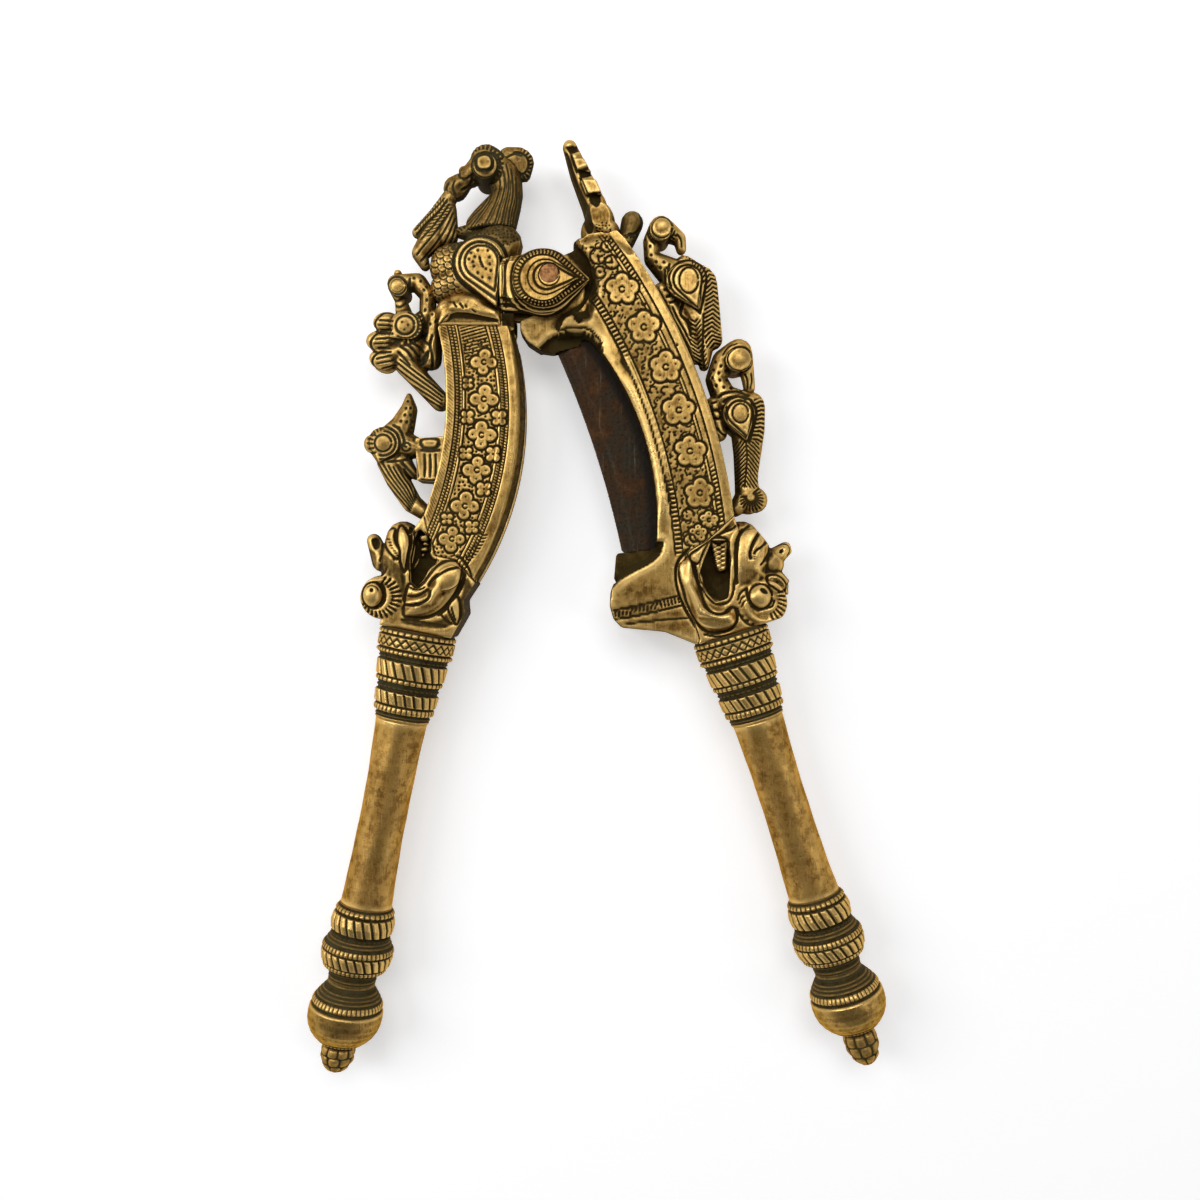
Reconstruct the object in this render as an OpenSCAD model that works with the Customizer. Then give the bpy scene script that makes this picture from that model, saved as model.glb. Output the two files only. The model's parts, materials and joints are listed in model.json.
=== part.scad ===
// Hinged betel nut cutter lying flat: an anvil arm and a blade arm turn on one rivet.
// The origin is on the rivet's axis at the surface the cutter lies on. +Y runs to the peacock's head,
// +X to the blade arm, +Z up. Both faces are decorated alike.

/* [Pivot] */
// Height of the middle plane of both arms above the surface
mid_z = 10.6; // [10.6:0.1:11]
// Radius of the copper rivet
rivet_r = 2.4; // [2.2:0.1:2.6]
// Running clearance between the rivet and the blade arm's eye, on the radius
rivet_gap = 0.05; // [0.02:0.01:0.08]
// Thickness of the tongue that turns between the hinge cheeks
tongue_t = 7; // [6:0.2:7.4]
// Gap between the tongue and each cheek
cheek_gap = 0.25; // [0.15:0.05:0.4]
// Radius of the round end of each hinge cheek
cheek_r = 8.9; // [8.5:0.1:9.1]
// Distance from the middle of a cheek's round end to its pointed tip
cheek_tip = 12.6; // [12:0.1:12.8]

/* [Arms] */
// Thickness of both curved bars
bar_t = 14; // [12:0.5:15]
// Height of the raised rails along the bars
rail_h = 0.6; // [0.3:0.1:0.8]
// Radius of the anvil's curved inner wall
anvil_r = 85.3; // [85:0.1:85.6]
// Depth of the groove along the anvil that takes the cutting edge
groove_d = 1.8; // [1.4:0.1:2.2]
// Width of that groove
groove_w = 4; // [3.6:0.1:4.6]

/* [Blade] */
// Thickness of the steel blade
blade_t = 3; // [2.4:0.1:3.2]
// Width of the ground bevel behind the cutting edge
bevel_w = 3.6; // [2.5:0.1:4.5]
// How far the blade's back is let into the brass arm
blade_seat = 3; // [2:0.5:4]

/* [Handles] */
// Radius of the ferrule at its widest band
ferrule_r = 10.5; // [10.2:0.1:10.5]
// Length of the plain grip of the anvil arm
grip_l_anvil = 50.6; // [46:0.2:56]
// Length of the plain grip of the blade arm
grip_l_blade = 49.6; // [46:0.2:56]
// Radius of the grip at its waist
waist_r = 6.3; // [5.8:0.1:6.8]
// Largest radius of the pommel
pommel_r = 10; // [9.6:0.1:10.2]
// Length of the anvil arm's finial
finial_l_anvil = 8; // [7:0.2:10]
// Length of the blade arm's finial
finial_l_blade = 10.2; // [8:0.2:11]
// Lean of the anvil arm's handle from straight down
lean_anvil = -10.9; // [-11.5:0.1:-10.5]
// Lean of the blade arm's handle from straight down
lean_blade = 17.9; // [17.5:0.1:18.3]

/* [Hidden] */

brass = [0.72, 0.56, 0.28];
dull_brass = [0.50, 0.40, 0.20];
copper = [0.72, 0.42, 0.28];
steel = [0.30, 0.24, 0.19];

// sides of a true circle, of the long arcs, and of the rounded modelled forms
circle_fn = 96;
arc_fn = 720;
blob_fn = 14;
ruff_fn = 32;

// centres and radii of the arcs that the arms follow
anvil_c = [-92, -35.3];
anvil_back_c = [-110, -31.9];
anvil_back_r = 82.6;
blade_back_c = [-114.3, -84.6];
blade_back_r = 164.4;
border_c = [-110.9, -83.4];
border_r = 145.4;
recess_c = [-47.6, -64.4];
recess_r = 75.9;
edge_c = [-239.3, -126.5];
edge_r = 263.8;
cheek_c = [-1.8, -1];
cheek_turn = 2.5;

// outline of the second makara's lower lip, along which it meets the arm
right_lip = [[41.7, -69.2], [36.9, -72.1], [33.8, -77.7], [34.8, -84], [38, -90.3], [39.6, -95.6]];

// reach of the blade arm's full thickness towards the pivot, of its tongue, and of its heel
shoulder_r = 11.3;
tongue_r = 7;
heel_r = 19.6;

// where each handle's axis leaves its arm
anvil_end = [-35.6, -93.4];
blade_end = [48.2, -94];

// lengths of the turned parts of both handles
ferrule_l = 24.4;
end_ferrule_l = 21;
pommel_l = 17;
// radius where the end ferrule meets the pommel
neck_r = 6.3;
pommel_at_anvil = ferrule_l + grip_l_anvil + end_ferrule_l;
pommel_at_blade = ferrule_l + grip_l_blade + end_ferrule_l;

top_z = mid_z + bar_t / 2;
low_z = mid_z - bar_t / 2;
pocket_t = tongue_t + 2 * cheek_gap;

function on_arc(c, r, a) = [c.x + r * cos(a), c.y + r * sin(a)];
function arc(c, r, a0, a1, steps) = [for (i = [0 : steps]) on_arc(c, r, a0 + (a1 - a0) * i / steps)];
function across(p, lean, d) = [p.x + d * cos(lean), p.y + d * sin(lean)];

module slab(z0, z1)
    translate([0, 0, z0]) linear_extrude(z1 - z0) children();

// both faces alike: children are drawn upwards from the middle plane, then mirrored
module two_faced() {
    translate([0, 0, mid_z]) children();
    translate([0, 0, mid_z]) mirror([0, 0, 1]) children();
}

module teardrop(r, tip) {
    a = acos(r / tip);
    circle(r, $fn = circle_fn);
    polygon([[r * cos(a), r * sin(a)], [tip, 0], [r * cos(a), -r * sin(a)], [0, 0]]);
}

// rounded form on the middle plane; p is x, y, radius and half height
module blob(p)
    translate([p.x, p.y, mid_z]) scale([1, 1, p[3] / p.z]) sphere(p.z, $fn = blob_fn);

module strand(points)
    for (i = [0 : len(points) - 2])
        hull() {
            blob(points[i]);
            blob(points[i + 1]);
        }

module disc_pair(p)
    translate([p.x, p.y, mid_z - p[3]]) cylinder(r = p.z, h = 2 * p[3], $fn = 32);

module turned(profile)
    rotate_extrude($fn = circle_fn) polygon(profile);

// a strip that follows an arc, as wide as w, centred on radius r
module arc_strip(c, r, w, a0, a1)
    polygon(concat(arc(c, r + w / 2, a0, a1, 24), arc(c, r - w / 2, a1, a0, 24)));

// HANDLES

module ferrule_form()
    turned([[0, 0], [9.7, 0], [10, 0.5], [10.2, 1.4], [10, 1.8], [ferrule_r, 2.1], [ferrule_r - 0.1, 5],
        [9.9, 5.4], [10.1, 6.3], [9.5, 6.9], [9.1, 7.4], [9.2, 8.3], [9.4, 8.7], [9.1, 12.6], [8.7, 13],
        [8.8, 14.2], [8.2, 14.7], [8.1, 16.4], [8.5, 16.8], [8.2, 19.9], [7.8, 20.4], [7.9, 22],
            [7.3, 22.5],
        [7.4, 23.6], [7.1, ferrule_l], [0, ferrule_l]]);

module grip_form(l) {
    steps = 8;
    end_r = 7;
    side = [for (i = [0 : steps]) [waist_r + (end_r - waist_r) * pow(2 * i / steps - 1, 2),
        l * i / steps]];
    turned(concat([[0, 0]], side, [[0, l]]));
}

module end_ferrule_form()
    turned([[0, 0], [7, 0], [7.3, 0.6], [7.7, 1.4], [7.5, 2.2], [8, 2.6], [8.4, 4.8], [8.1, 6.8],
        [7.5, 7.4],
        [8, 8.4], [8.8, 9.8], [9.2, 10.6], [9.4, 11.6], [9.5, 13.4], [9, 15.6], [8.4, 16], [8.2, 17],
        [7.2, 17.8], [6.4, 19], [neck_r, end_ferrule_l], [0, end_ferrule_l]]);

module pommel_form() {
    belly_at = 9;
    belly = [for (a = [-12 : 12 : 72]) [pommel_r - 5.6 + 5.6 * cos(a), belly_at + 8.2 * sin(a)]];
    turned(concat([[0, 0], [neck_r, 0], [6.6, 1], [7.8, 2.6], [8.8, 4], [9.4, 5.6], [9.5, 6.6]], belly,
        [[4, pommel_l], [0, pommel_l]]));
}

module finial_form(l)
    turned([[0, 0], [3.7, 0], [4.4, l / 8], [4.7, l / 3], [4.5, l / 2], [3.7, 3 * l / 4],
        [2.2, 15 * l / 16], [0.6, l], [0, l]]);

module handle_part(start, lean, at)
    translate([start.x, start.y, mid_z]) rotate([0, 0, lean]) rotate([90, 0, 0])
        translate([0, 0, at]) children();

module on_anvil(at)
    color(brass) handle_part(anvil_end, lean_anvil, at) children();

module on_blade(at)
    color(brass) handle_part(blade_end, lean_blade, at) children();

module left_ferrule() on_anvil(0) ferrule_form();
module left_grip() on_anvil(ferrule_l) grip_form(grip_l_anvil);
module left_end_ferrule() on_anvil(ferrule_l + grip_l_anvil) end_ferrule_form();
module left_pommel() on_anvil(pommel_at_anvil) pommel_form();
module left_finial() on_anvil(pommel_at_anvil + pommel_l) finial_form(finial_l_anvil);

module right_ferrule() on_blade(0) ferrule_form();
module right_grip() on_blade(ferrule_l) grip_form(grip_l_blade);
module right_end_ferrule() on_blade(ferrule_l + grip_l_blade) end_ferrule_form();
module right_pommel() on_blade(pommel_at_blade) pommel_form();
module right_finial() on_blade(pommel_at_blade + pommel_l) finial_form(finial_l_blade);

// ANVIL ARM

// the plan runs a little past the inner wall, which anvil_wall cuts
module anvil_plan() {
    seam = [-25.1, -74.5];
    seam_end = on_arc(anvil_c, anvil_r, -32);
    polygon(concat(arc(anvil_back_c, anvil_back_r, -21.8, 13.5, 16),
        arc(anvil_c, anvil_r + 1.2, 16.3, -31, 24), [seam + 1.3 * (seam_end - seam), seam, [-30.8,
            -73.2]]));
}

// where the arm runs on into the makara's head
module left_end_plan()
    polygon([on_arc(anvil_back_c, anvil_back_r, -21.8), [-30.8, -73.2],
        [-25.1, -74.5], on_arc(anvil_c, anvil_r, -32),
        [-22.7, -85.1], [-22.4, -88.8], [-23.8, -91.3], across(anvil_end, lean_anvil, 9.7),
        across(anvil_end, lean_anvil, -9.7), [-44.6, -90.5], [-46.2, -82.4], [-41.3, -74.2]]);

// the inner wall leans in towards both faces
module anvil_wall() {
    lean_in = 1.3;
    translate([anvil_c.x, anvil_c.y, 0]) rotate_extrude($fn = arc_fn)
        polygon([[1, low_z], [anvil_r - lean_in, low_z], [anvil_r, mid_z - 3.6], [anvil_r, mid_z + 3.6],
            [anvil_r - lean_in, top_z], [1, top_z]]);
}

module anvil_groove()
    translate([anvil_c.x, anvil_c.y, mid_z - groove_w / 2]) difference() {
        cylinder(r = anvil_r + 3, h = groove_w, $fn = arc_fn);
        translate([0, 0, -1]) cylinder(r = anvil_r - groove_d, h = groove_w + 2, $fn = arc_fn);
    }

// room that the tongue and its heel sweep through
module tongue_pocket()
    slab(mid_z - pocket_t / 2, mid_z + pocket_t / 2) {
        circle(tongue_r + 0.6, $fn = circle_fn);
        polygon(concat([[0, 0]], arc([0, 0], heel_r, -158, -60, 16)));
    }

// the makara's open mouth, sunk into both faces of the arm
module left_mouth()
    two_faced() slab(3.4, mid_z)
        polygon([[-34.5, -66.1], [-31.3, -69.2], [-29.7, -74.5], [-32.1, -79], [-34.7, -81.9],
            [-36.6, -80.3], [-36.8, -74.5], [-35.8, -69.2]]);

module anvil_bar() color(brass) difference() {
    union() {
        intersection() {
            slab(low_z, top_z) anvil_plan();
            anvil_wall();
        }
        two_faced() slab(bar_t / 2 - 1, bar_t / 2 + rail_h) {
            arc_strip(anvil_back_c, anvil_back_r + 1.3, 2.4, -19, 13);
            arc_strip(anvil_c, anvil_r - 2.9, 2.4, -24, 15);
            arc_strip(anvil_back_c, anvil_back_r + 4.6, 0.9, -19, 13);
            arc_strip(anvil_c, anvil_r - 6.4, 0.9, -22, 15);
        }
    }
    anvil_groove();
    tongue_pocket();
    left_mouth();
    slab(0, 2 * mid_z) plinth_plan();
}

module plinth_plan()
    polygon([[-29.7, -12.6], [-28.9, -9.9], [-26.3, -6.8], [-18.9, -6.5], [-13.1, -8.9], [-13.1, -11],
        [-12.9, -12.6]]);

module plinth() color(brass) difference() {
    union() {
        slab(mid_z - 7.6, mid_z + 7.6) plinth_plan();
        slab(mid_z - 8.4, mid_z + 8.4)
            polygon([[-26.6, -8.6], [-25.8, -7], [-18.9, -6.8], [-13.9, -9.2], [-13.9, -10.7]]);
    }
    tongue_pocket();
}

module cheek_plan(inset = 0) {
    translate(cheek_c) rotate(cheek_turn) teardrop(cheek_r - inset, cheek_tip - 1.4 * inset);
    polygon([[-13.1, -8.6 + inset], [-6, -8.9 + inset], [-6, 6.4 - inset], [-13.1, 5 - inset]]);
}

module cheek_form() difference() {
    union() {
        slab(pocket_t / 2, 7.4) cheek_plan();
        slab(pocket_t / 2, 9) cheek_plan(1);
        slab(pocket_t / 2, mid_z) cheek_plan(2.2);
    }
    translate([0, 0, pocket_t / 2 - 1]) cylinder(r = rivet_r, h = mid_z, $fn = circle_fn);
}

module front_cheek() color(brass) translate([0, 0, mid_z]) cheek_form();
module back_cheek() color(brass) translate([0, 0, mid_z]) mirror([0, 0, 1]) cheek_form();

module pivot_rivet() color(copper) cylinder(r = rivet_r, h = 2 * mid_z, $fn = circle_fn);

module peacock_body() color(dull_brass) difference() {
    union() {
        strand([[-26.7, 4.6, 6.2, 6.8], [-19.7, 3.5, 8.9, 7.6], [-14.3, 10.3, 6.8, 6.6]]);
        strand([[-28.1, -1.4, 4.6, 6], [-19.7, 1.9, 8.1, 7]]);
        two_faced() slab(2, 8.4) translate([-18.4, 3.5]) rotate(-69) teardrop(6.3, 12.4);
    }
    two_faced() slab(pocket_t / 2, mid_z) cheek_plan();
    tongue_pocket();
    slab(0, 2 * mid_z) {
        polygon([[-39.5, -8.1], [-1.3, -9.7], [-1.3, -19.2], [-39.5, -19.2]]);
        polygon([[-35.4, 12.7], [-3, 15.4], [-3, 23], [-35.4, 23]]);
    }
}

// head and neck, standing on the body at the pitted collar
module peacock_head() color(dull_brass) difference() {
    union() {
        strand([[-16.5, 14.3, 7, 6], [-13.2, 20.2, 5.1, 5.4], [-11.6, 24, 4.1, 4.6],
            [-12.4, 29.4, 4.6, 4.8], [-17.3, 32.9, 4.7, 5.6]]);
        strand([[-18.6, 31.6, 3.8, 5], [-23.2, 28.1, 2.4, 3.4], [-25.7, 25.9, 3.4, 3.6]]);
        disc_pair([-17.3, 30.1, 2.2, 7]);
        disc_pair([-17.3, 29.8, 3.3, 6.2]);
        blob([-23.5, 30.5, 1.4, 2.2]);
    }
    slab(0, 2 * mid_z) polygon([[-35.4, 12.7], [-3, 15.4], [-3, 4.1], [-35.4, 4.1]]);
}

module peacock_crest() color(dull_brass) difference() {
    strand([[-11.3, 33.8, 3.2, 3.8], [-8.8, 32.8, 4.3, 3.6], [-7.3, 29.7, 1.9, 2.6]]);
    peacock_head();
}

module beak_spray() color(dull_brass) {
    strand([[-27.3, 23.5, 2.2, 2.6], [-31.1, 18.4, 2.2, 3], [-35.9, 14, 1.6, 2.2]]);
    strand([[-27.5, 21.3, 1.9, 2.6], [-32.1, 12.2, 3.5, 3.8], [-35.4, 8.4, 2.2, 3], [-34, 5.1, 1.4, 2]]);
    strand([[-27, 20.2, 1.6, 2.4], [-28.1, 13.2, 3.2, 3.6]]);
}

module upper_left_bird() color(dull_brass) difference() {
    union() {
        strand([[-41.6, 0, 2.6, 4], [-40.5, -4.3, 1.6, 3.4], [-39.4, -8.9, 2.4, 4],
            [-38.3, -11.6, 3.8, 4.4], [-38.1, -16.5, 3.8, 4.2],
            [-39.2, -21.3, 3.2, 4], [-34.3, -26.7, 2.8, 3.6], [-29.7, -31.6, 2.7, 3]]);
        strand([[-41.6, 0.5, 2.2, 3.4], [-35.9, 0.5, 2.6, 3.4], [-33.2, -3, 2.2, 3.6],
            [-33.2, -8.4, 2.4, 3.6], [-36.7, -11.6, 2.7, 4]]);
        strand([[-44.6, -10.3, 2.6, 4], [-39.7, -11.3, 2.7, 4.2]]);
        strand([[-46.3, -15.1, 2.8, 3.8], [-39.7, -14.3, 2.4, 4]]);
        strand([[-45.6, -20.1, 2.7, 3.6], [-39.7, -18.1, 3, 4]]);
        strand([[-31.1, -8.9, 1.9, 4.2], [-32.4, -20.2, 3, 4]]);
        disc_pair([-40.3, -2, 2.2, 4.6]);
        blob([-41.3, 3, 1.1, 1.6]);
        two_faced() slab(1, 5.2) translate([-37.6, -12.3]) rotate(-150) teardrop(3.5, 6);
    }
    slab(low_z, top_z) anvil_plan();
}

module lower_left_bird() color(dull_brass) difference() {
    union() {
        strand([[-38.3, -30, 0.8, 1.2], [-38.3, -33.8, 2.3, 3], [-40.2, -38.6, 3.5, 4],
            [-42.9, -42.7, 4.9, 4.6], [-43.7, -47.2, 3.5, 4.2],
            [-41.3, -52.7, 3.2, 4], [-37.5, -58.9, 2.7, 3.4], [-34.3, -61.3, 2.2, 3.4]]);
        strand([[-45.1, -42.7, 4.5, 4.4], [-44.3, -46.2, 3.2, 4.2]]);
        strand([[-40.8, -42.9, 4.1, 4.4], [-34.3, -44.6, 2.4, 4.2]]);
        strand([[-40.2, -47.8, 2.7, 4], [-36.5, -51.6, 1.1, 3]]);
        slab(mid_z - 4, mid_z + 4) polygon([[-35.9, -41.9], [-27.3, -41.3], [-29.4, -53.7],
            [-35.6, -53.2]]);
        two_faced() slab(1, 5.2) translate([-43.7, -43.4]) rotate(-110) teardrop(3.6, 5.4);
    }
    slab(low_z, top_z) anvil_plan();
}

// curled ruff with an eyeball standing out of it, both faces alike; eye is x, y and radius
module ruff(p, eye) {
    lip = [[p.z - 3.2, 5.4], [p.z - 2.4, 7.2], [p.z - 1.2, 7.6], [p.z - 0.2, 6.6], [p.z, 5]];
    below = [for (i = [len(lip) - 1 : -1 : 0]) [lip[i].x, -lip[i].y]];
    translate([p.x, p.y, mid_z]) rotate_extrude($fn = ruff_fn)
        polygon(concat([[0, 5.4]], lip, below, [[0, -5.4]]));
    two_faced() translate([eye.x, eye.y, 5.3]) sphere(eye.z, $fn = 24);
}

module left_makara() color(brass) difference() {
    union() {
        strand([[-39.7, -68.3, 4.6, 6.6], [-41.3, -74.8, 4.9, 7.4], [-40.2, -81.3, 4.9, 7.4]]);
        strand([[-45.6, -74.8, 2.7, 4.4], [-47.7, -69.1, 2, 3]]);
        strand([[-37.9, -86.1, 2.4, 8.6], [-31.6, -85.1, 3.2, 9.4], [-27.1, -78.7, 2.9, 8.8]]);
        ruff([-44.5, -84.3, 5.8], [-46.9, -82.9, 2.9]);
        slab(low_z, top_z) left_end_plan();
    }
    left_mouth();
    on_anvil(0) cylinder(r = 2 * ferrule_r, h = ferrule_l, $fn = 32);
}

// BLADE ARM

module blade_bar_plan()
    polygon(concat(arc([0, 0], shoulder_r, -70, 52, 16), [[10.1, 11.7], [17.7, 12.7]],
        arc(blade_back_c, blade_back_r, 35.4, 7.6, 24), right_lip,
        [across(blade_end, lean_blade, -9.7), [30.4, -93.5], [19, -92.4], [16.9, -90.3],
            [15.9, -86.7], [16.1, -82.9],
         [17.6, -78.6], [20.8, -76.1], [26.2, -73.7]],
        arc(recess_c, recess_r, -5, 37, 20), [[10.6, -15.7], [5.3, -14.7], [1.4, -16]]));

// where the arm runs on into the second makara's head
module right_end_plan()
    polygon(concat(right_lip, [across(blade_end, lean_blade, -9.7), across(blade_end, lean_blade, 9.7),
        [55.6, -85.1], on_arc(blade_back_c, blade_back_r, 7.6)]));

module tongue_plan() {
    circle(tongue_r, $fn = circle_fn);
    polygon([[0, -tongue_r], [-8.1, -10.4], [-8.1, -13.3], [-6.2, -16.2], [-2.8, -18.4], [0.7, -18.9],
        [8, -17], [9, 0],
        [10, 11.2], [7.6, 8.8], [2.4, tongue_r - 0.4], [0, tongue_r - 0.4]]);
}

module blade_plan()
    polygon(concat(arc(edge_c, edge_r, 24.9, 12, 12), [[24, -75]],
        arc(recess_c, recess_r + blade_seat, -6, 38, 20), [[6, -12.4], [2, -13.4]]));

// the slot that the blade's back is wedged into
module blade_slot()
    slab(mid_z - blade_t / 2, mid_z + blade_t / 2) blade_plan();

// the second makara's open mouth
module right_mouth()
    two_faced() slab(3.6, mid_z)
        polygon([[42.7, -69.5], [47, -69.5], [47.8, -74.5], [47, -84.5], [43.8, -85.6], [41.2, -82.9],
            [39.3, -79], [40.6, -74.5]]);

module blade_bar() color(brass) difference() {
    union() {
        slab(low_z, top_z) blade_bar_plan();
        slab(mid_z - tongue_t / 2, mid_z + tongue_t / 2) {
            tongue_plan();
            polygon([[17.6, -72.6], [28.1, -71.3], [30, -79.7], [17, -79.7]]);
        }
        two_faced() slab(bar_t / 2 - 1, bar_t / 2 + rail_h) {
            arc_strip(blade_back_c, blade_back_r - 1.4, 2.4, 9, 33);
            arc_strip(border_c, border_r, 1.4, 8, 33);
            arc_strip(recess_c, recess_r + 2.6, 3.6, -2, 33);
        }
    }
    cylinder(r = rivet_r + rivet_gap, h = 3 * mid_z, $fn = circle_fn);
    blade_slot();
    right_mouth();
}

module cutting_blade() color(steel) intersection() {
    blade_slot();
    translate([edge_c.x, edge_c.y, mid_z]) rotate_extrude($fn = arc_fn)
        polygon([[edge_r, 0], [edge_r + bevel_w, -blade_t / 2], [edge_r + 40, -blade_t / 2],
            [edge_r + 40, blade_t / 2], [edge_r + bevel_w, blade_t / 2]]);
}

module stop_spur() color(brass) difference() {
    union() {
        strand([[14, 13.2, 3.6, 5.6], [11.6, 21.3, 3.5, 4.6], [7.8, 29.7, 2.8, 3.8], [5.1, 36.9, 2, 3]]);
        spur_steps();
    }
    slab(0, 2 * mid_z) blade_bar_plan();
}

module spur_steps()
    two_faced() {
        slab(0, 6.4) polygon([[10.3, 19.8], [14.8, 19.8], [17.2, 13.5], [12.2, 13.5]]);
        slab(0, 5.6) polygon([[8, 26.4], [12.2, 26.4], [13.8, 22.5], [9.5, 22.5]]);
        slab(0, 4.8) polygon([[6.1, 32.2], [9, 32.2], [10.9, 28.8], [7.4, 28.8]]);
    }

module shoulder_bud() color(dull_brass) difference() {
    strand([[21.9, 16.7, 3.1, 3.6], [20.2, 11.1, 2.2, 3.4]]);
    slab(low_z, top_z) blade_bar_plan();
}

module upper_right_parrot() color(brass) difference() {
    union() {
        strand([[29.7, 15.1, 3.4, 4.6], [27, 11.6, 2.2, 3.8], [27.3, 6.8, 2.2, 3.8],
            [34.8, 1.4, 4.9, 4.8], [39.2, -7.3, 4.1, 4.4],
            [41.6, -15.4, 2.7, 4], [41.3, -21.9, 1.4, 3]]);
        strand([[29.7, 15.1, 3.4, 4.6], [34.6, 12.4, 1.8, 3], [35.1, 9.5, 1.4, 2.4]]);
        strand([[35.9, 5.1, 2.7, 4], [40, 0.3, 4.9, 4.6], [42.4, -5.7, 3.1, 4], [43.5, -14.9, 2.8, 3.8]]);
        strand([[29.7, -1.9, 2.4, 4], [34.6, -10, 2.7, 3.6], [39.2, -19.2, 2.4, 3.4]]);
        disc_pair([29.3, 13.2, 2.8, 5.2]);
        two_faced() slab(2, 5.8) translate([35.4, -0.5]) rotate(-62) teardrop(4.6, 8.6);
    }
    slab(low_z, top_z) blade_bar_plan();
}

module lower_right_parrot() color(brass) difference() {
    union() {
        strand([[50.5, -18.4, 3.8, 4.8], [46.2, -20.2, 2.7, 4], [44.6, -25.7, 3, 4],
            [46.7, -30.5, 3.5, 4.4], [51, -33.8, 5.4, 5],
            [52.7, -39.2, 4.3, 4.6], [52.7, -45.9, 3.5, 4.2], [52.7, -52.7, 3.2, 4],
                [53.2, -58.6, 3.5, 4]]);
        strand([[51.3, -19.2, 3.2, 4.8], [52.9, -24, 1.9, 3.2], [53.5, -27.8, 1.6, 2.6]]);
        strand([[53.7, -32.9, 4.1, 4.4], [54.5, -39.2, 3.2, 4.2], [53.7, -50, 2.4, 3.8]]);
        strand([[43.7, -32.7, 2.4, 4.2], [45.4, -40.2, 2.2, 4]]);
        strand([[49.7, -60.8, 1.9, 3.4], [52.1, -58.1, 3, 3.8], [54.9, -58.1, 3.6, 4]]);
        disc_pair([49.6, -21.3, 3, 5.4]);
        two_faced() slab(2, 5.8) translate([50.1, -35.5]) rotate(-75) teardrop(4.2, 7.6);
    }
    slab(low_z, top_z) blade_bar_plan();
}

module right_makara() color(brass) difference() {
    union() {
        strand([[36.9, -75, 2.4, 8.6], [36.2, -80.8, 2.6, 9.2], [39.6, -88.2, 3.4, 9.4],
            [47, -89.8, 3.2, 8.8]]);
        strand([[51.3, -68.6, 4.9, 7], [54.3, -72.1, 4.9, 7.4], [53.7, -79.7, 5.1, 7.4]]);
        strand([[58.6, -74.8, 3, 4.6], [63.2, -71.3, 2, 3.2]]);
        strand([[56.4, -78, 2.4, 5.6], [60.8, -79.1, 2.2, 5.4], [63.5, -81.8, 1.9, 4.8]]);
        ruff([56.6, -85.8, 6.3], [54.3, -84.3, 3.2]);
        slab(low_z, top_z) right_end_plan();
    }
    right_mouth();
    slab(low_z, top_z) blade_bar_plan();
    on_blade(0) cylinder(r = 2 * ferrule_r, h = ferrule_l, $fn = 32);
}

anvil_bar();
plinth();
peacock_body();
peacock_head();
peacock_crest();
beak_spray();
front_cheek();
back_cheek();
upper_left_bird();
lower_left_bird();
left_makara();
left_ferrule();
left_grip();
left_end_ferrule();
left_pommel();
left_finial();
blade_bar();
cutting_blade();
stop_spur();
shoulder_bud();
upper_right_parrot();
lower_right_parrot();
right_makara();
right_ferrule();
right_grip();
right_end_ferrule();
right_pommel();
right_finial();
pivot_rivet();
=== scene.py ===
import json
import math

import bpy
import numpy as np
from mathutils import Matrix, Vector

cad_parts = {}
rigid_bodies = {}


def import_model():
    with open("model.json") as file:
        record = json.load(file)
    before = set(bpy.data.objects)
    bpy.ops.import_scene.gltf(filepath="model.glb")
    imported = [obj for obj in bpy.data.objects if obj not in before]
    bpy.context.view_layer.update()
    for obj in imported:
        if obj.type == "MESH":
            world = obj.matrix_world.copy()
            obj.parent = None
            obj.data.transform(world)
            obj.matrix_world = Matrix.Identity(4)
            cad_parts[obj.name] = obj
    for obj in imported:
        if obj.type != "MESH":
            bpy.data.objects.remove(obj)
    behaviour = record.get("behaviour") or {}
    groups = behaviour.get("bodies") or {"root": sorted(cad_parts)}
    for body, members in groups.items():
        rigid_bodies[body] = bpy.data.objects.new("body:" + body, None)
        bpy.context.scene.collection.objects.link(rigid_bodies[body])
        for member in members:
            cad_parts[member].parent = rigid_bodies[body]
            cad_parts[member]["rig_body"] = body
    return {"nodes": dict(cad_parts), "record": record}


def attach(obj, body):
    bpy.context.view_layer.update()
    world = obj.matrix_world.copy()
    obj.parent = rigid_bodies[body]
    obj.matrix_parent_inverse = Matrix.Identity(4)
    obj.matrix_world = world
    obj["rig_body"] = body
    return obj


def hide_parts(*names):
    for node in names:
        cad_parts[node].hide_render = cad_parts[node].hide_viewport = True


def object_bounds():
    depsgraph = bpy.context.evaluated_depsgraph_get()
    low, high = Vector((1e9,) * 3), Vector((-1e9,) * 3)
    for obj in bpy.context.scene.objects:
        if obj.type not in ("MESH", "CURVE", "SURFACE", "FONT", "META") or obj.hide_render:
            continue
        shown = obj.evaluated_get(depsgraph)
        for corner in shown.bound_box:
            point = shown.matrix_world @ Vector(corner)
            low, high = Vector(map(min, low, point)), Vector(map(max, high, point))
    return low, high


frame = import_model()
cadLow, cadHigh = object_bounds()

mm = 0.001
midHeight = 10.6  # middle plane of both arms, mm above the table

# the photograph's camera, straight above the point overPoint
shot = {"distance": 290.0, "overPixel": (600.0, 600.0), "overPoint": (13.23, -85.05), "mmPerPixel": 0.27,
        "sensor": 36.0}


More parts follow.
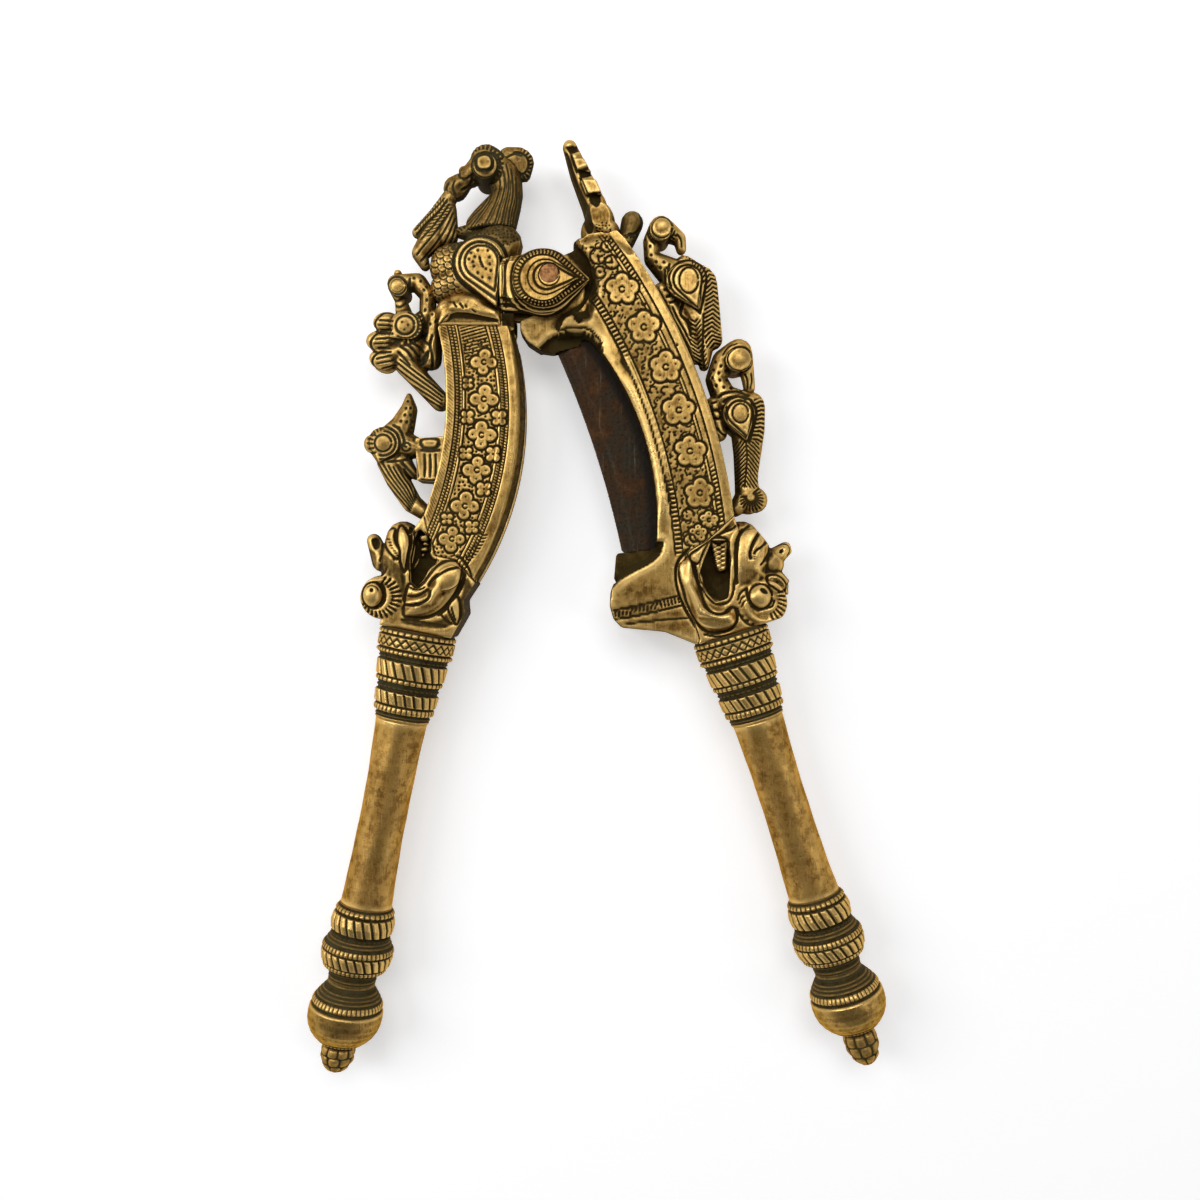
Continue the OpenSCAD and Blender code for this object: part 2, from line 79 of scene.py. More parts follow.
def toPhoto(co):
    # where a point of either face, in mm, shows in the photograph; the lower face is taken as the upper one's mirror
    near = (shot["distance"] - np.abs(co[:, 2] - midHeight)) / shot["distance"]
    step = shot["mmPerPixel"] * near
    x = shot["overPixel"][0] + (co[:, 0] - shot["overPoint"][0]) / step
    y = shot["overPixel"][1] - (co[:, 1] - shot["overPoint"][1]) / step
    return np.stack([x, y], 1)


def fromPhoto(x, y, height=0.0):
    # the point, in mm, that shows at a pixel and stands at this height over the middle plane
    step = shot["mmPerPixel"] * (shot["distance"] - abs(height)) / shot["distance"]
    return np.array([shot["overPoint"][0] + (x - shot["overPixel"][0]) * step,
                     shot["overPoint"][1] - (y - shot["overPixel"][1]) * step, midHeight + height])


def makeCamera():
    data = bpy.data.cameras.new("camera")
    camera = bpy.data.objects.new("camera", data)
    bpy.context.scene.collection.objects.link(camera)
    width = 1200 * shot["mmPerPixel"]
    data.sensor_width = shot["sensor"]
    data.lens = shot["sensor"] * shot["distance"] / width
    data.clip_start, data.clip_end = 0.01, 20
    camera.location = (shot["overPoint"][0] * mm, shot["overPoint"][1] * mm, (midHeight + shot["distance"]) * mm)
    bpy.context.scene.camera = camera


makeCamera()
print("camera placed")


class Wire:
    # a socket of a material's tree, so that shader maths can be written as Python expressions
    def __init__(self, tree, socket=None):
        self.tree, self.socket = tree, socket

    def make(self, kind, inputs=(), out=0, **settings):
        node = self.tree.nodes.new(kind)
        for key, value in settings.items():
            setattr(node, key, value)
        for key, value in dict(inputs).items():
            if isinstance(value, Wire):
                self.tree.links.new(value.socket, node.inputs[key])
            else:
                node.inputs[key].default_value = value
        return Wire(self.tree, node.outputs[out])

    def maths(self, operation, a, b=0.0, clamp=False):
        return self.make("ShaderNodeMath", {0: a, 1: b}, operation=operation, use_clamp=clamp)

    def __add__(self, other): return self.maths("ADD", self, other)
    def __radd__(self, other): return self.maths("ADD", other, self)
    def __sub__(self, other): return self.maths("SUBTRACT", self, other)
    def __rsub__(self, other): return self.maths("SUBTRACT", other, self)
    def __mul__(self, other): return self.maths("MULTIPLY", self, other)
    def __rmul__(self, other): return self.maths("MULTIPLY", other, self)

    def clamped(self):
        return self.maths("ADD", self, 0.0, clamp=True)

    def between(self, low, high):
        return self.make("ShaderNodeMapRange", {0: self, 1: low, 2: high}, interpolation_type="SMOOTHSTEP")

    def noise(self, perMetre, detail=4.0, roughness=0.6, stretch=(1, 1, 1), turn=0.0):
        place = self.make("ShaderNodeTexCoord", out="Object")
        if stretch != (1, 1, 1):
            place = self.make("ShaderNodeMapping", {"Vector": place, "Rotation": (0, 0, turn), "Scale": stretch})
        return self.make("ShaderNodeTexNoise", {"Vector": place, "Scale": perMetre, "Detail": detail,
                "Roughness": roughness})

    def blendColours(self, share, a, b):
        a = (*a, 1) if isinstance(a, tuple) else a
        b = (*b, 1) if isinstance(b, tuple) else b
        return self.make("ShaderNodeMix", {0: share, 6: a, 7: b}, out=2, data_type="RGBA")

    def layer(self, name):
        return self.make("ShaderNodeAttribute", out="Fac", attribute_name=name)


def newMaterial(name):
    material = bpy.data.materials.new(name)
    material.use_nodes = True
    tree = material.node_tree
    shader = tree.nodes["Principled BSDF"]
    return material, Wire(tree), shader


def plug(wire, shader, **links):
    for key, value in links.items():
        wire.tree.links.new(value.socket, shader.inputs[key.replace("_", " ")])


# the darkest colour serves the specks and, mixed with olive, the hollows and the painted shade
brassLook = {
    "polished": (0.70, 0.470, 0.165), "worn": (0.320, 0.188, 0.045), "brown": (0.108, 0.049, 0.0085),
    "dirt": (0.018, 0.0082, 0.0020), "olive": (0.056, 0.040, 0.0115), "verdigris": (0.095, 0.090, 0.048),
}


def brassMaterial(name, browning=0.5, oliveShare=0.25, green=0.0, brushed=0.5, rub=0.2, worn=brassLook["worn"],
        dull=brassLook["brown"]):
    # the patina layer is 1 in the engraving and coves, and also carries painted shade on steep walls, in gaps and
    # along edges; wear is 1 on rubbed ridges; both are painted on the pieces
    material, w, shader = newMaterial(name)
    patina, wear = w.layer("patina"), w.layer("wear")
    clouds = w.noise(75, 5, 0.68)
    spots = w.noise(430, 5, 0.72)
    grain = w.noise(2600, 3, 0.65)
    # fine scratches in two directions, and dark specks
    scratches = w.noise(3400, 2, 0.6, stretch=(1, 0.05, 0.6), turn=brushed).between(0.56, 0.70)
    crossed = w.noise(3000, 2, 0.6, stretch=(1, 0.06, 0.6), turn=brushed - 1.2).between(0.60, 0.72)
    specks = w.noise(1500, 3, 0.6).between(0.62, 0.72)
    mottled = (clouds.between(0.36, 0.64) * 0.55 + spots.between(0.44, 0.60) * 0.65).clamped()
    cavity = (patina * 1.15 + (spots - 0.5) * 0.5 * patina).clamped()
    brown = (mottled * browning * 1.25 + scratches * 0.42 + patina * 0.5 - wear * 0.7).clamped()
    colour = w.blendColours(brown, worn, dull)
    rubbed = (wear * 0.85 + crossed * 0.30 + (1 - mottled) * rub).clamped()
    colour = w.blendColours(rubbed, colour, brassLook["polished"])
    colour = w.blendColours((specks * (0.5 + mottled * 0.5) * (1 - wear * 0.8)).clamped(), colour, brassLook["dirt"])
    # the dark tarnish colour, which also serves as painted shade
    film = w.blendColours((clouds.between(0.45, 0.6) * 0.5 + oliveShare).clamped(), brassLook["dirt"],
            brassLook["olive"])
    if green:
        film = w.blendColours((spots.between(0.40, 0.60) * green + wear * 0.4).clamped(), film,
                brassLook["verdigris"])
    # tarnish colour in the hollows, which also paints the shade that the patina layer carries
    colour = w.blendColours(cavity.between(0.22, 0.85), colour, film)
    rough = (0.30 + mottled * 0.16 - wear * 0.05 + (grain - 0.5) * 0.25 + scratches * 0.12 + cavity * 0.4).clamped()
    metal = (1 - cavity.between(0.3, 0.95) * 0.75).clamped()
    relief = spots * 0.6 + grain * 0.30 - scratches * 0.16 + crossed * 0.12 - specks * 0.2
    bump = w.make("ShaderNodeBump", {"Strength": 0.65, "Distance": 0.00018, "Height": relief}, out="Normal")
    plug(w, shader, Base_Color=colour, Roughness=rough, Metallic=metal, Normal=bump)
    shader.inputs["Specular Tint"].default_value = (1.0, 0.68, 0.36, 1)
    shader.inputs["Specular IOR Level"].default_value = 0.14
    return material


def steelMaterial():
    material, w, shader = newMaterial("rustySteel")
    patina, wear = w.layer("patina"), w.layer("wear")
    clouds = w.noise(70, 6, 0.7)
    rust = w.noise(420, 6, 0.75)
    pits = w.noise(1800, 4, 0.7)
    grind = w.noise(1200, 2, 0.6, stretch=(1, 0.08, 1), turn=0.25)
    rusty = (clouds.between(0.38, 0.62) * 0.7 + rust.between(0.4, 0.66) * 0.5).clamped()
    colour = w.blendColours(rusty, (0.030, 0.026, 0.017), (0.060, 0.026, 0.009))
    colour = w.blendColours((w.noise(140, 4, 0.7).between(0.52, 0.70) * 0.65).clamped(), colour,
            (0.115, 0.048, 0.016))
    colour = w.blendColours((pits.between(0.5, 0.75) * 0.8).clamped(), colour, (0.010, 0.007, 0.004))
    colour = w.blendColours((grind.between(0.60, 0.78) * 0.5 + wear * 0.4).clamped(), colour, (0.16, 0.14, 0.10))
    # patina colour, which also paints the shade on the steel along the bar's edge and on the walls
    colour = w.blendColours(patina.clamped(), colour, (0.02, 0.015, 0.011))
    rough = (0.62 + rusty * 0.2 - wear * 0.15 + (pits - 0.5) * 0.3).clamped()
    metal = (0.45 - rusty * 0.35).clamped()
    relief = pits * 0.6 + rust * 0.8 + grind * 0.3
    bump = w.make("ShaderNodeBump", {"Strength": 0.6, "Distance": 0.00018, "Height": relief}, out="Normal")
    plug(w, shader, Base_Color=colour, Roughness=rough, Metallic=metal, Normal=bump)
    shader.inputs["Specular IOR Level"].default_value = 0.12
    return material


def copperMaterial():
    material, w, shader = newMaterial("rivetCopper")
    spots = w.noise(600, 4, 0.7)
    grind = w.noise(1500, 3, 0.6, stretch=(1, 0.1, 1), turn=1.1)
    mottled = spots.between(0.4, 0.65)
    colour = w.blendColours(mottled, (0.225, 0.108, 0.043), (0.125, 0.055, 0.021))
    rough = (0.36 + mottled * 0.15 + (grind - 0.5) * 0.25).clamped()
    bump = w.make("ShaderNodeBump", {"Strength": 0.4, "Distance": 0.0001, "Height": grind + spots}, out="Normal")
    plug(w, shader, Base_Color=colour, Roughness=rough, Normal=bump)
    shader.inputs["Metallic"].default_value = 1.0
    return material


gripLook = {"worn": (0.400, 0.218, 0.045), "dull": (0.135, 0.058, 0.0085)}
materials = {
    "brass": brassMaterial("castBrass"),
    "dull_brass": brassMaterial("dullBrass", browning=0.85, oliveShare=0.4, green=0.4, rub=0.06),
    "blade_steel": steelMaterial(),
    "copper": copperMaterial(),
    "left_grip": brassMaterial("leftGripBrass", browning=0.7, brushed=-0.19, rub=0.12, **gripLook),
    "right_grip": brassMaterial("rightGripBrass", browning=0.7, brushed=0.31, rub=0.12, **gripLook),
}
for part in ("ferrule", "end_ferrule", "pommel", "finial"):
    materials["left_" + part] = materials["right_" + part] = materials["dull_brass"]
for part in ("peacock_head", "peacock_crest", "beak_spray", "shoulder_bud"):
    materials[part] = materials["dull_brass"]
for row in frame["record"]["subparts"]:
    node = frame["nodes"][row["node"]]
    node.data.materials.clear()
    node.data.materials.append(materials.get(row["node"], materials[row["material_slot"]]))
print("materials made")


def clearSelection():
    if bpy.context.object and bpy.context.object.mode != "OBJECT":
        bpy.ops.object.mode_set(mode="OBJECT")
    bpy.ops.object.select_all(action="DESELECT")


def choose(piece):
    clearSelection()
    piece.select_set(True)
    bpy.context.view_layer.objects.active = piece


def applyAll(piece):
    choose(piece)
    for modifier in list(piece.modifiers):
        bpy.ops.object.modifier_apply(modifier=modifier.name)


def readPoints(piece, what="co"):
    values = np.zeros(len(piece.data.vertices) * 3, np.float32)
    if what == "co":
        piece.data.vertices.foreach_get("co", values)
        return values.reshape(-1, 3).astype(float) / mm
    piece.data.vertex_normals.foreach_get("vector", values)
    return values.reshape(-1, 3).astype(float)


def writePoints(piece, co):
    piece.data.vertices.foreach_set("co", (co * mm).astype(np.float32).ravel())
    piece.data.update()


def paint(piece, **layers):
    for name, values in layers.items():
        layer = piece.data.attributes.get(name) or piece.data.attributes.new(name, "FLOAT", "POINT")
        layer.data.foreach_set("value", np.clip(values, 0, 1).astype(np.float32))


def smoothstep(low, high, x):
    t = np.clip((x - low) / (high - low), 0, 1)
    return t * t * (3 - 2 * t)


def edgePairs(piece):
    pairs = np.zeros(len(piece.data.edges) * 2, np.int64)
    piece.data.edges.foreach_get("vertices", pairs)
    return pairs.reshape(-1, 2)


def spread(pairs, count, values, rounds):
    # averages values over the mesh's neighbours
    degree = np.bincount(pairs.ravel(), minlength=count).astype(float)
    degree = np.maximum(degree, 1)
    for _ in range(rounds):
        total = np.bincount(pairs[:, 0], weights=values[pairs[:, 1]], minlength=count)
        total += np.bincount(pairs[:, 1], weights=values[pairs[:, 0]], minlength=count)
        values = 0.4 * values + 0.6 * total / degree
    return values


def hollowness(piece, fine=2, coarse=10):
    # how far each point lies below (above 0) or over (below 0) the smoothed surface round it, mm
    co, normal = readPoints(piece), readPoints(piece, "normal")
    pairs, count = edgePairs(piece), len(piece.data.vertices)
    near = np.stack([spread(pairs, count, co[:, i], fine) for i in range(3)], 1)
    far = np.stack([spread(pairs, count, near[:, i], coarse) for i in range(3)], 1)
    return np.einsum("ij,ij->i", far - co, normal), np.einsum("ij,ij->i", far - near, normal)


def finishPiece(piece, node, dark, wearGain=9.0, dirtGain=7.0, baseTarnishAndShade=0.0, walls=0.5):
    # keeps the piece inside the CAD box, paints wear and patina from its shape, adds painted shade on its steep walls,
    # and puts it in its node's place
    writePoints(piece, np.clip(readPoints(piece), np.array(cadLow) / mm, np.array(cadHigh) / mm))
    sharp, broad = hollowness(piece)
    # painted shade on the steep side walls, added to the piece's base tarnish
    baseTarnishAndShade = baseTarnishAndShade + walls * smoothstep(0.62, 0.15, np.abs(readPoints(piece, "normal")[:, 2]))
    hollow = np.clip(broad * dirtGain, 0, 1) * 0.6 + np.clip(sharp * dirtGain, 0, 1) * 0.5
    rubbed = np.clip(-broad * wearGain, 0, 1) * 0.7 + np.clip(-sharp * wearGain, 0, 1) * 0.4
    # patina in the hollows, base tarnish, painted wall shade and the chisels' dark marks, some of which are painted
    # shade
    patina = hollow + baseTarnishAndShade + dark
    paint(piece, patina=patina, wear=rubbed * (1 - np.clip(patina, 0, 1)))
    choose(piece)
    bpy.ops.object.shade_smooth()
    row = next(r for r in frame["record"]["subparts"] if r["node"] == node)
    piece.data.materials.clear()
    piece.data.materials.append(materials.get(node, materials[row["material_slot"]]))
    body = frame["nodes"][node]["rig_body"]
    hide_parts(node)
    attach(piece, body)
    print(piece.name, len(piece.data.polygons), "faces")


handles = {
    "left": {"start": (419, 631), "lean": -10.9, "grip": 50.6, "finial": 8.0},
    "right": {"start": (729.5, 633), "lean": 17.9, "grip": 49.6, "finial": 10.2},
}
# along the axis in mm: profile (at, radius), beads (at, width, count, height), ropes (from, to, count, slant),
# cuts (at, width, depth), coves (from, to), shade (from, to, amount, softness), hatching (from, to, count, slant)
turnedParts = {
    "ferrule": {
        "profile": [(0, 0), (0, 9.7), (0.5, 10), (1.4, 10.15), (1.8, 9.9), (2.1, 10.35), (5, 10.25), (5.4, 9.8),
            (6.3, 10), (6.9, 9.5), (7.4, 9), (8.3, 9.1), (8.7, 9.35), (12.6, 9.05), (13, 8.7), (14.2, 8.75),
            (14.7, 8.2), (16.4, 8.0), (16.8, 8.45), (19.9, 8.15), (20.4, 7.8), (22, 7.85), (22.5, 7.3),
            (23.6, 7.35), (24.4, 7.05), (24.4, 0)],
        "rowStep": 0.13,
        "marks": {
            "hatching": (2.35, 4.8, 26, 0.40),
            "beads": ((1.05, 1.0, 34, 0.3), (6.15, 1.2, 46, 0.34), (7.6, 0.8, 40, 0.22), (13.55, 1.3, 34, 0.32),
                (15.6, 0.8, 34, 0.2), (21.3, 1.7, 36, 0.34)),
            "ropes": ((8.7, 12.8, 22, 0.16), (16.7, 20.0, 21, 0.13)),
            "cuts": ((1.85, 0.7, 0.35), (5.35, 0.8, 0.4), (6.95, 0.5, 0.15), (8.35, 0.6, 0.2), (12.95, 0.6, 0.3),
                (14.4, 0.6, 0.3), (16.45, 0.5, 0.25), (20.3, 0.7, 0.3), (22.5, 0.7, 0.2), (23.5, 0.5, 0.15)),
            "coves": ((6.7, 8.6), (14.2, 16.6), (22.3, 24.2)),
            "shade": ((0, 0.6, 0.9, 0.2), (6.7, 8.6, 0.6, 0.2), (14.2, 16.6, 0.6, 0.2), (22.3, 23.4, 0.5, 0.2)),
        },
    },
    "end_ferrule": {
        "profile": [(0, 0), (0, 7), (0.6, 7.3), (1.4, 7.65), (2.2, 7.5), (2.6, 7.95), (4.8, 8.35), (6.8, 8.05),
            (7.4, 7.45), (8.4, 7.9), (9.8, 8.7), (10.6, 9.1), (11.6, 9.35), (13.4, 9.45), (15.6, 8.95), (16, 8.4),
            (17, 8.2), (17.8, 7.2), (19, 6.4), (21, 6.3), (21, 0)],
        "rowStep": 0.13,
        "marks": {
            "beads": ((1.3, 1.2, 34, 0.3), (7.9, 0.8, 36, 0.2), (11.3, 1.5, 48, 0.34), (16.7, 1.2, 44, 0.3)),
            "ropes": ((2.5, 7.1, 22, 0.13), (12.4, 15.8, 26, 0.18)),
            "cuts": ((0.4, 0.5, 0.2), (2.25, 0.7, 0.3), (7.4, 0.9, 0.4), (10.3, 0.6, 0.2), (12.25, 0.6, 0.3),
                (15.95, 0.6, 0.35), (17.6, 0.6, 0.25), (18.9, 0.5, 0.1)),
            "coves": ((7.4, 10.6), (17.2, 20.6)),
            "shade": ((0, 0.5, 0.7, 0.2), (7.3, 10.6, 0.5, 0.2), (17.4, 21, 0.5, 0.2)),
        },
    },
    "pommel": {
        "profile": [(0, 0), (0, 6.25), (1, 6.5), (2.6, 7.7), (4, 8.7), (5.6, 9.3), (6.6, 9.4), (7.3, 9.88),
            (9, 9.98), (10.7, 9.85), (12.3, 9.4), (13.8, 8.6), (15.1, 7.5), (16.1, 6.2), (16.8, 4.9), (17, 4),
            (17, 0)],
        "rowStep": 0.2,
        "marks": {
            "beads": ((5.2, 1.6, 48, 0.3), (16.2, 0.7, 40, 0.2)),
            "cuts": ((1.3, 0.6, 0.2), (4.2, 0.6, 0.25), (6.5, 0.8, 0.35), (15.6, 0.5, 0.2)),
            "coves": ((0.2, 4.0),),
            "shade": ((-5, 4.0, 0.5, 0.4), (16.55, 22, 0.4, 0.25)),
        },
    },
}


def spinProfile(name, profile, rowStep, steps):
    # the half outline, as (along, radius), is filled up with points and spun round its axis
    points = []
    for (s0, r0), (s1, r1) in zip(profile, profile[1:]):
        count = max(1, int(round(math.hypot(s1 - s0, r1 - r0) / rowStep)))
        points += [(s0 + (s1 - s0) * i / count, r0 + (r1 - r0) * i / count) for i in range(count)]
    points.append(profile[-1])
    mesh = bpy.data.meshes.new(name)
    mesh.from_pydata([(r * mm, 0, s * mm) for s, r in points], [(i, i + 1) for i in range(len(points) - 1)], [])
    piece = bpy.data.objects.new(name, mesh)
    bpy.context.scene.collection.objects.link(piece)
    choose(piece)
    bpy.ops.object.mode_set(mode="EDIT")
    bpy.ops.mesh.select_all(action="SELECT")
    bpy.ops.mesh.spin(steps=steps, angle=2 * math.pi, center=(0, 0, 0), axis=(0, 0, 1))
    bpy.ops.mesh.select_all(action="SELECT")
    bpy.ops.mesh.remove_doubles(threshold=0.00001)
    bpy.ops.mesh.normals_make_consistent(inside=False)
    bpy.ops.object.mode_set(mode="OBJECT")
    return piece


def beadRow(s, turn, at, width, count, height):
    across = np.clip(1 - ((s - at) / (width / 2)) ** 2, 0, 1)
    along = np.abs(np.cos(turn * count / 2))
    return height * np.sqrt(across * np.clip(along, 0, 1))


def beadGaps(s, turn, at, width, count):
    band = smoothstep(width * 0.62, width * 0.42, np.abs(s - at))
    return band * smoothstep(0.55, 0.15, np.abs(np.cos(turn * count / 2)))


def groove(s, at, width):
    return np.clip(1 - np.abs(s - at) / (width / 2), 0, 1)


def rope(s, turn, low, high, count, slant):
    # gashes cut across a swelling band, leaning like a left-hand rope
    band = smoothstep(low - 0.1, low + 0.35, s) * smoothstep(high + 0.1, high - 0.35, s)
    phase = (turn * count / (2 * math.pi) + (s - low) * slant) % 1
    gash = smoothstep(0.20, 0.03, np.minimum(phase, 1 - phase))
    swell = np.sin(phase * math.pi) ** 0.6
    return band, gash, swell


def between(s, low, high, soft=0.2):
    return smoothstep(low - soft, low + soft, s) * smoothstep(high + soft, high - soft, s)


def dressTurned(s, turn, r, hatching=None, beads=(), ropes=(), cuts=(), coves=(), shade=()):
    # how far the surface rises, mm, and how dark it is, from the marks that the tools leave
    lift, dark = np.zeros_like(s), np.zeros_like(s)
    if hatching:
        low, high, count, slant = hatching
        lines = [(turn * count / (2 * math.pi) + s * way) % 1 for way in (slant, -slant)]
        cut = np.maximum(*[smoothstep(0.17, 0.04, np.minimum(a, 1 - a)) for a in lines]) * between(s, low, high, 0.15)
        lift -= cut * 0.38
        dark += cut * 0.95
    for at, width, count, height in beads:
        lift += beadRow(s, turn, at, width, count, height)
        dark += 0.8 * beadGaps(s, turn, at, width, count)
    for low, high, count, slant in ropes:
        rows, gash, swell = rope(s, turn, low, high, count, slant)
        lift += rows * (swell * 0.22 - gash * 0.6)
        dark += rows * gash
    for at, width, depth in cuts:
        lift -= groove(s, at, width) * depth
        dark += groove(s, at, width * 1.5) * 0.9
    for low, high in coves:
        # fine rings left by the turning tool in the hollows
        ends = smoothstep(low - 0.1, low + 0.3, s) * smoothstep(high + 0.1, high - 0.3, s)
        lift += 0.11 * np.sin(s * 2 * math.pi / 0.85) * ends
    for low, high, amount, soft in shade:
        dark += amount * between(s, low, high, soft)
    return lift, dark


def dressGrip(s, turn, r):
    # hand-filed flats and a few knocks
    lift = 0.05 * np.sin(turn * 5 + s * 0.11) + 0.035 * np.sin(turn * 9 - s * 0.23 + 1.0)
    lift += 0.03 * np.sin(s * 0.55 + turn)
    dark = 0.18 + 0.14 * np.sin(turn * 2 + s * 0.05) * np.sin(s * 0.19 + 1.3)
    return lift, dark


def dressFinial(s, turn, r, length):
    # three whorls of seeds, each whorl set half a seed round from the last
    t = s / length
    lift, dark = np.zeros_like(s), np.full_like(s, 0.25)
    for i, (low, high) in enumerate(((0.04, 0.36), (0.36, 0.67), (0.67, 0.97))):
        count = 9 - i
        here = (t >= low) & (t < high)
        across = np.clip((t - low) / (high - low), 0, 1)
        along = np.abs(np.sin((turn * count / 2) + i * math.pi / 2))
        seed = np.sqrt(np.clip(1 - (2 * across - 1) ** 2, 0, 1)) * np.sqrt(along)
        lift += here * (seed * 0.55 - 0.45)
        dark += here * 0.7 * smoothstep(0.55, 0.2, seed)
    return lift, dark + groove(s, 0, 1.2)


def placeOnHandle(piece, side, at):
    # the spun part stands on its own axis; this lays it along the arm's handle
    hold = handles[side]
    start = fromPhoto(*hold["start"])
    lean = math.radians(hold["lean"])
    co = readPoints(piece)
    along = co[:, 2] + at
    out = np.empty_like(co)
    out[:, 0] = start[0] + co[:, 0] * math.cos(lean) + along * math.sin(lean)
    out[:, 1] = start[1] + co[:, 0] * math.sin(lean) - along * math.cos(lean)
    out[:, 2] = midHeight + co[:, 1]
    writePoints(piece, out)


def turnedPiece(node, side, at, profile, dress, rowStep, steps=216, **options):
    name = node.replace("_", " ").title().replace(" ", "")
    piece = spinProfile(name[0].lower() + name[1:], profile, rowStep, steps)
    co = readPoints(piece)
    r = np.hypot(co[:, 0], co[:, 1])
    turn = np.arctan2(co[:, 1], co[:, 0])
    s = co[:, 2]
    lift, dark = dress(s, turn, r, **options)
    sideWall = smoothstep(0.5, 2.0, r) * (s > 0.02) * (s < profile[-1][0] - 0.02)
    grown = r + lift * sideWall
    scale = np.where(r > 1e-6, grown / np.maximum(r, 1e-6), 1)
    co[:, 0] *= scale
    co[:, 1] *= scale
    writePoints(piece, co)
    placeOnHandle(piece, side, at)
    if dress is not dressFinial:
        dark = dark * smoothstep(1, 3, r)
    finishPiece(piece, node, dark, wearGain=8, dirtGain=6, walls=0)


def gripProfile(length):
    side = [(length * i / 24, 6.3 + 0.7 * (i / 12 - 1) ** 2 - 0.12) for i in range(25)]
    return [(0, 0)] + side + [(length, 0)]


def finialProfile(length):
    shares = [(0, 0), (0, 3.7), (1 / 8, 4.4), (1 / 3, 4.65), (1 / 2, 4.45), (3 / 4, 3.65), (15 / 16, 2.1), (1, 0.6),
            (1, 0)]
    return [(length * share, radius) for share, radius in shares]


for side, hold in handles.items():
    at = 0.0
    for part in ("ferrule", "grip", "end_ferrule", "pommel", "finial"):
        node = side + "_" + part
        if part == "grip":
            turnedPiece(node, side, at, gripProfile(hold[part]), dressGrip, 0.5, 128)
        elif part == "finial":
            turnedPiece(node, side, at, finialProfile(hold[part]), dressFinial, 0.12, 128, length=hold[part])
        else:
            look = turnedParts[part]
            turnedPiece(node, side, at, look["profile"], dressTurned, look["rowStep"], **look["marks"])
        at += hold.get(part) or look["profile"][-1][0]
print("handles turned")


def addForm(kind, place, size, turn=0.0):
    # one more form, in mm, that the casting is built up from
    clearSelection()
    where = [p * mm for p in place]
    if kind == "ball":
        bpy.ops.mesh.primitive_uv_sphere_add(segments=24, ring_count=14, radius=mm, location=where)
    elif kind == "block":
        bpy.ops.mesh.primitive_cube_add(size=2 * mm, location=where)
    else:
        bpy.ops.mesh.primitive_torus_add(major_segments=36, minor_segments=12, major_radius=mm,
                minor_radius=0.25 * mm, location=where)
    form = bpy.context.object
    form.rotation_euler = (0, 0, turn)
    form.scale = size
    bpy.ops.object.transform_apply(location=True, rotation=True, scale=True)
    return form


def bothFaces(kind, x, y, height, size, turn=0.0):
    # a form on each face at a pixel of the photograph
    place = fromPhoto(x, y, height)
    return [addForm(kind, place, size, turn),
            addForm(kind, (place[0], place[1], 2 * midHeight - place[2]), size, turn)]


def castPiece(node, voxel=0.3, smooth=4, forms=()):
    # a merged copy of the node, with its extra forms, melted into one skin
    words = node.split("_")
    name = words[0] + "".join(x.title() for x in words[1:])
    piece = bpy.data.objects.new(name if len(words) > 1 else name + "Casting", frame["nodes"][node].data.copy())
    bpy.context.scene.collection.objects.link(piece)
    choose(piece)
    bpy.ops.object.mode_set(mode="EDIT")
    bpy.ops.mesh.select_all(action="SELECT")
    bpy.ops.mesh.remove_doubles(threshold=0.000002)
    bpy.ops.object.mode_set(mode="OBJECT")
    if forms:
        for form in forms:
            form.select_set(True)
        bpy.context.view_layer.objects.active = piece
        bpy.ops.object.join()
    melt = piece.modifiers.new("melt", "REMESH")
    melt.mode, melt.voxel_size = "VOXEL", voxel * mm
    soften = piece.modifiers.new("soften", "SMOOTH")
    soften.factor, soften.iterations = 0.5, smooth
    applyAll(piece)
    return piece


def pixels(points):
    # a line written as "x,y x,y", in pixels of the photograph, or a list of such points
    return np.array([p.split(",") for p in points.split()] if isinstance(points, str) else points, float)


def trace(points, bend=None, loop=False):
    # a written line is smoothed; a ready-made ring or teardrop stays as it is
    if bend is None:
        bend = not isinstance(points, np.ndarray)
    return bendLine(pixels(points), loop) if bend else pixels(points)


def bendLine(p, loop=False, steps=6):
    # a smooth line through the points
    if len(p) < 3:
        return p
    ring = np.vstack([p[-1:], p, p[:2]]) if loop else np.vstack([2 * p[0] - p[1], p, 2 * p[-1] - p[-2]])
    out = []
    for a, b, c, d in zip(ring, ring[1:], ring[2:], ring[3:]):
        for t in np.arange(steps) / steps:
            curve = 2 * b + (c - a) * t + (2 * a - 5 * b + 4 * c - d) * t * t + (3 * b - a - 3 * c + d) * t ** 3
            out.append(0.5 * curve)
    if not loop:
        out.append(p[-1])
    return np.array(out)


def teardrop(x, y, r, tipX, tipY, steps=28):
    # outline of a circle drawn out to a tip
    reach = math.hypot(tipX - x, tipY - y)
    to = math.atan2(tipY - y, tipX - x)
    opening = math.acos(min(r / reach, 1))
    turns = np.linspace(opening, 2 * math.pi - opening, steps) + to
    arc = np.stack([x + r * np.cos(turns), y + r * np.sin(turns)], 1)
    return np.vstack([arc, [[tipX, tipY]]])


def ring(x, y, r, steps=28, squash=1.0, start=0.0, end=360.0):
    turns = np.radians(np.linspace(start, end, steps))
    return np.stack([x + r * np.cos(turns), y + r * squash * np.sin(turns)], 1)


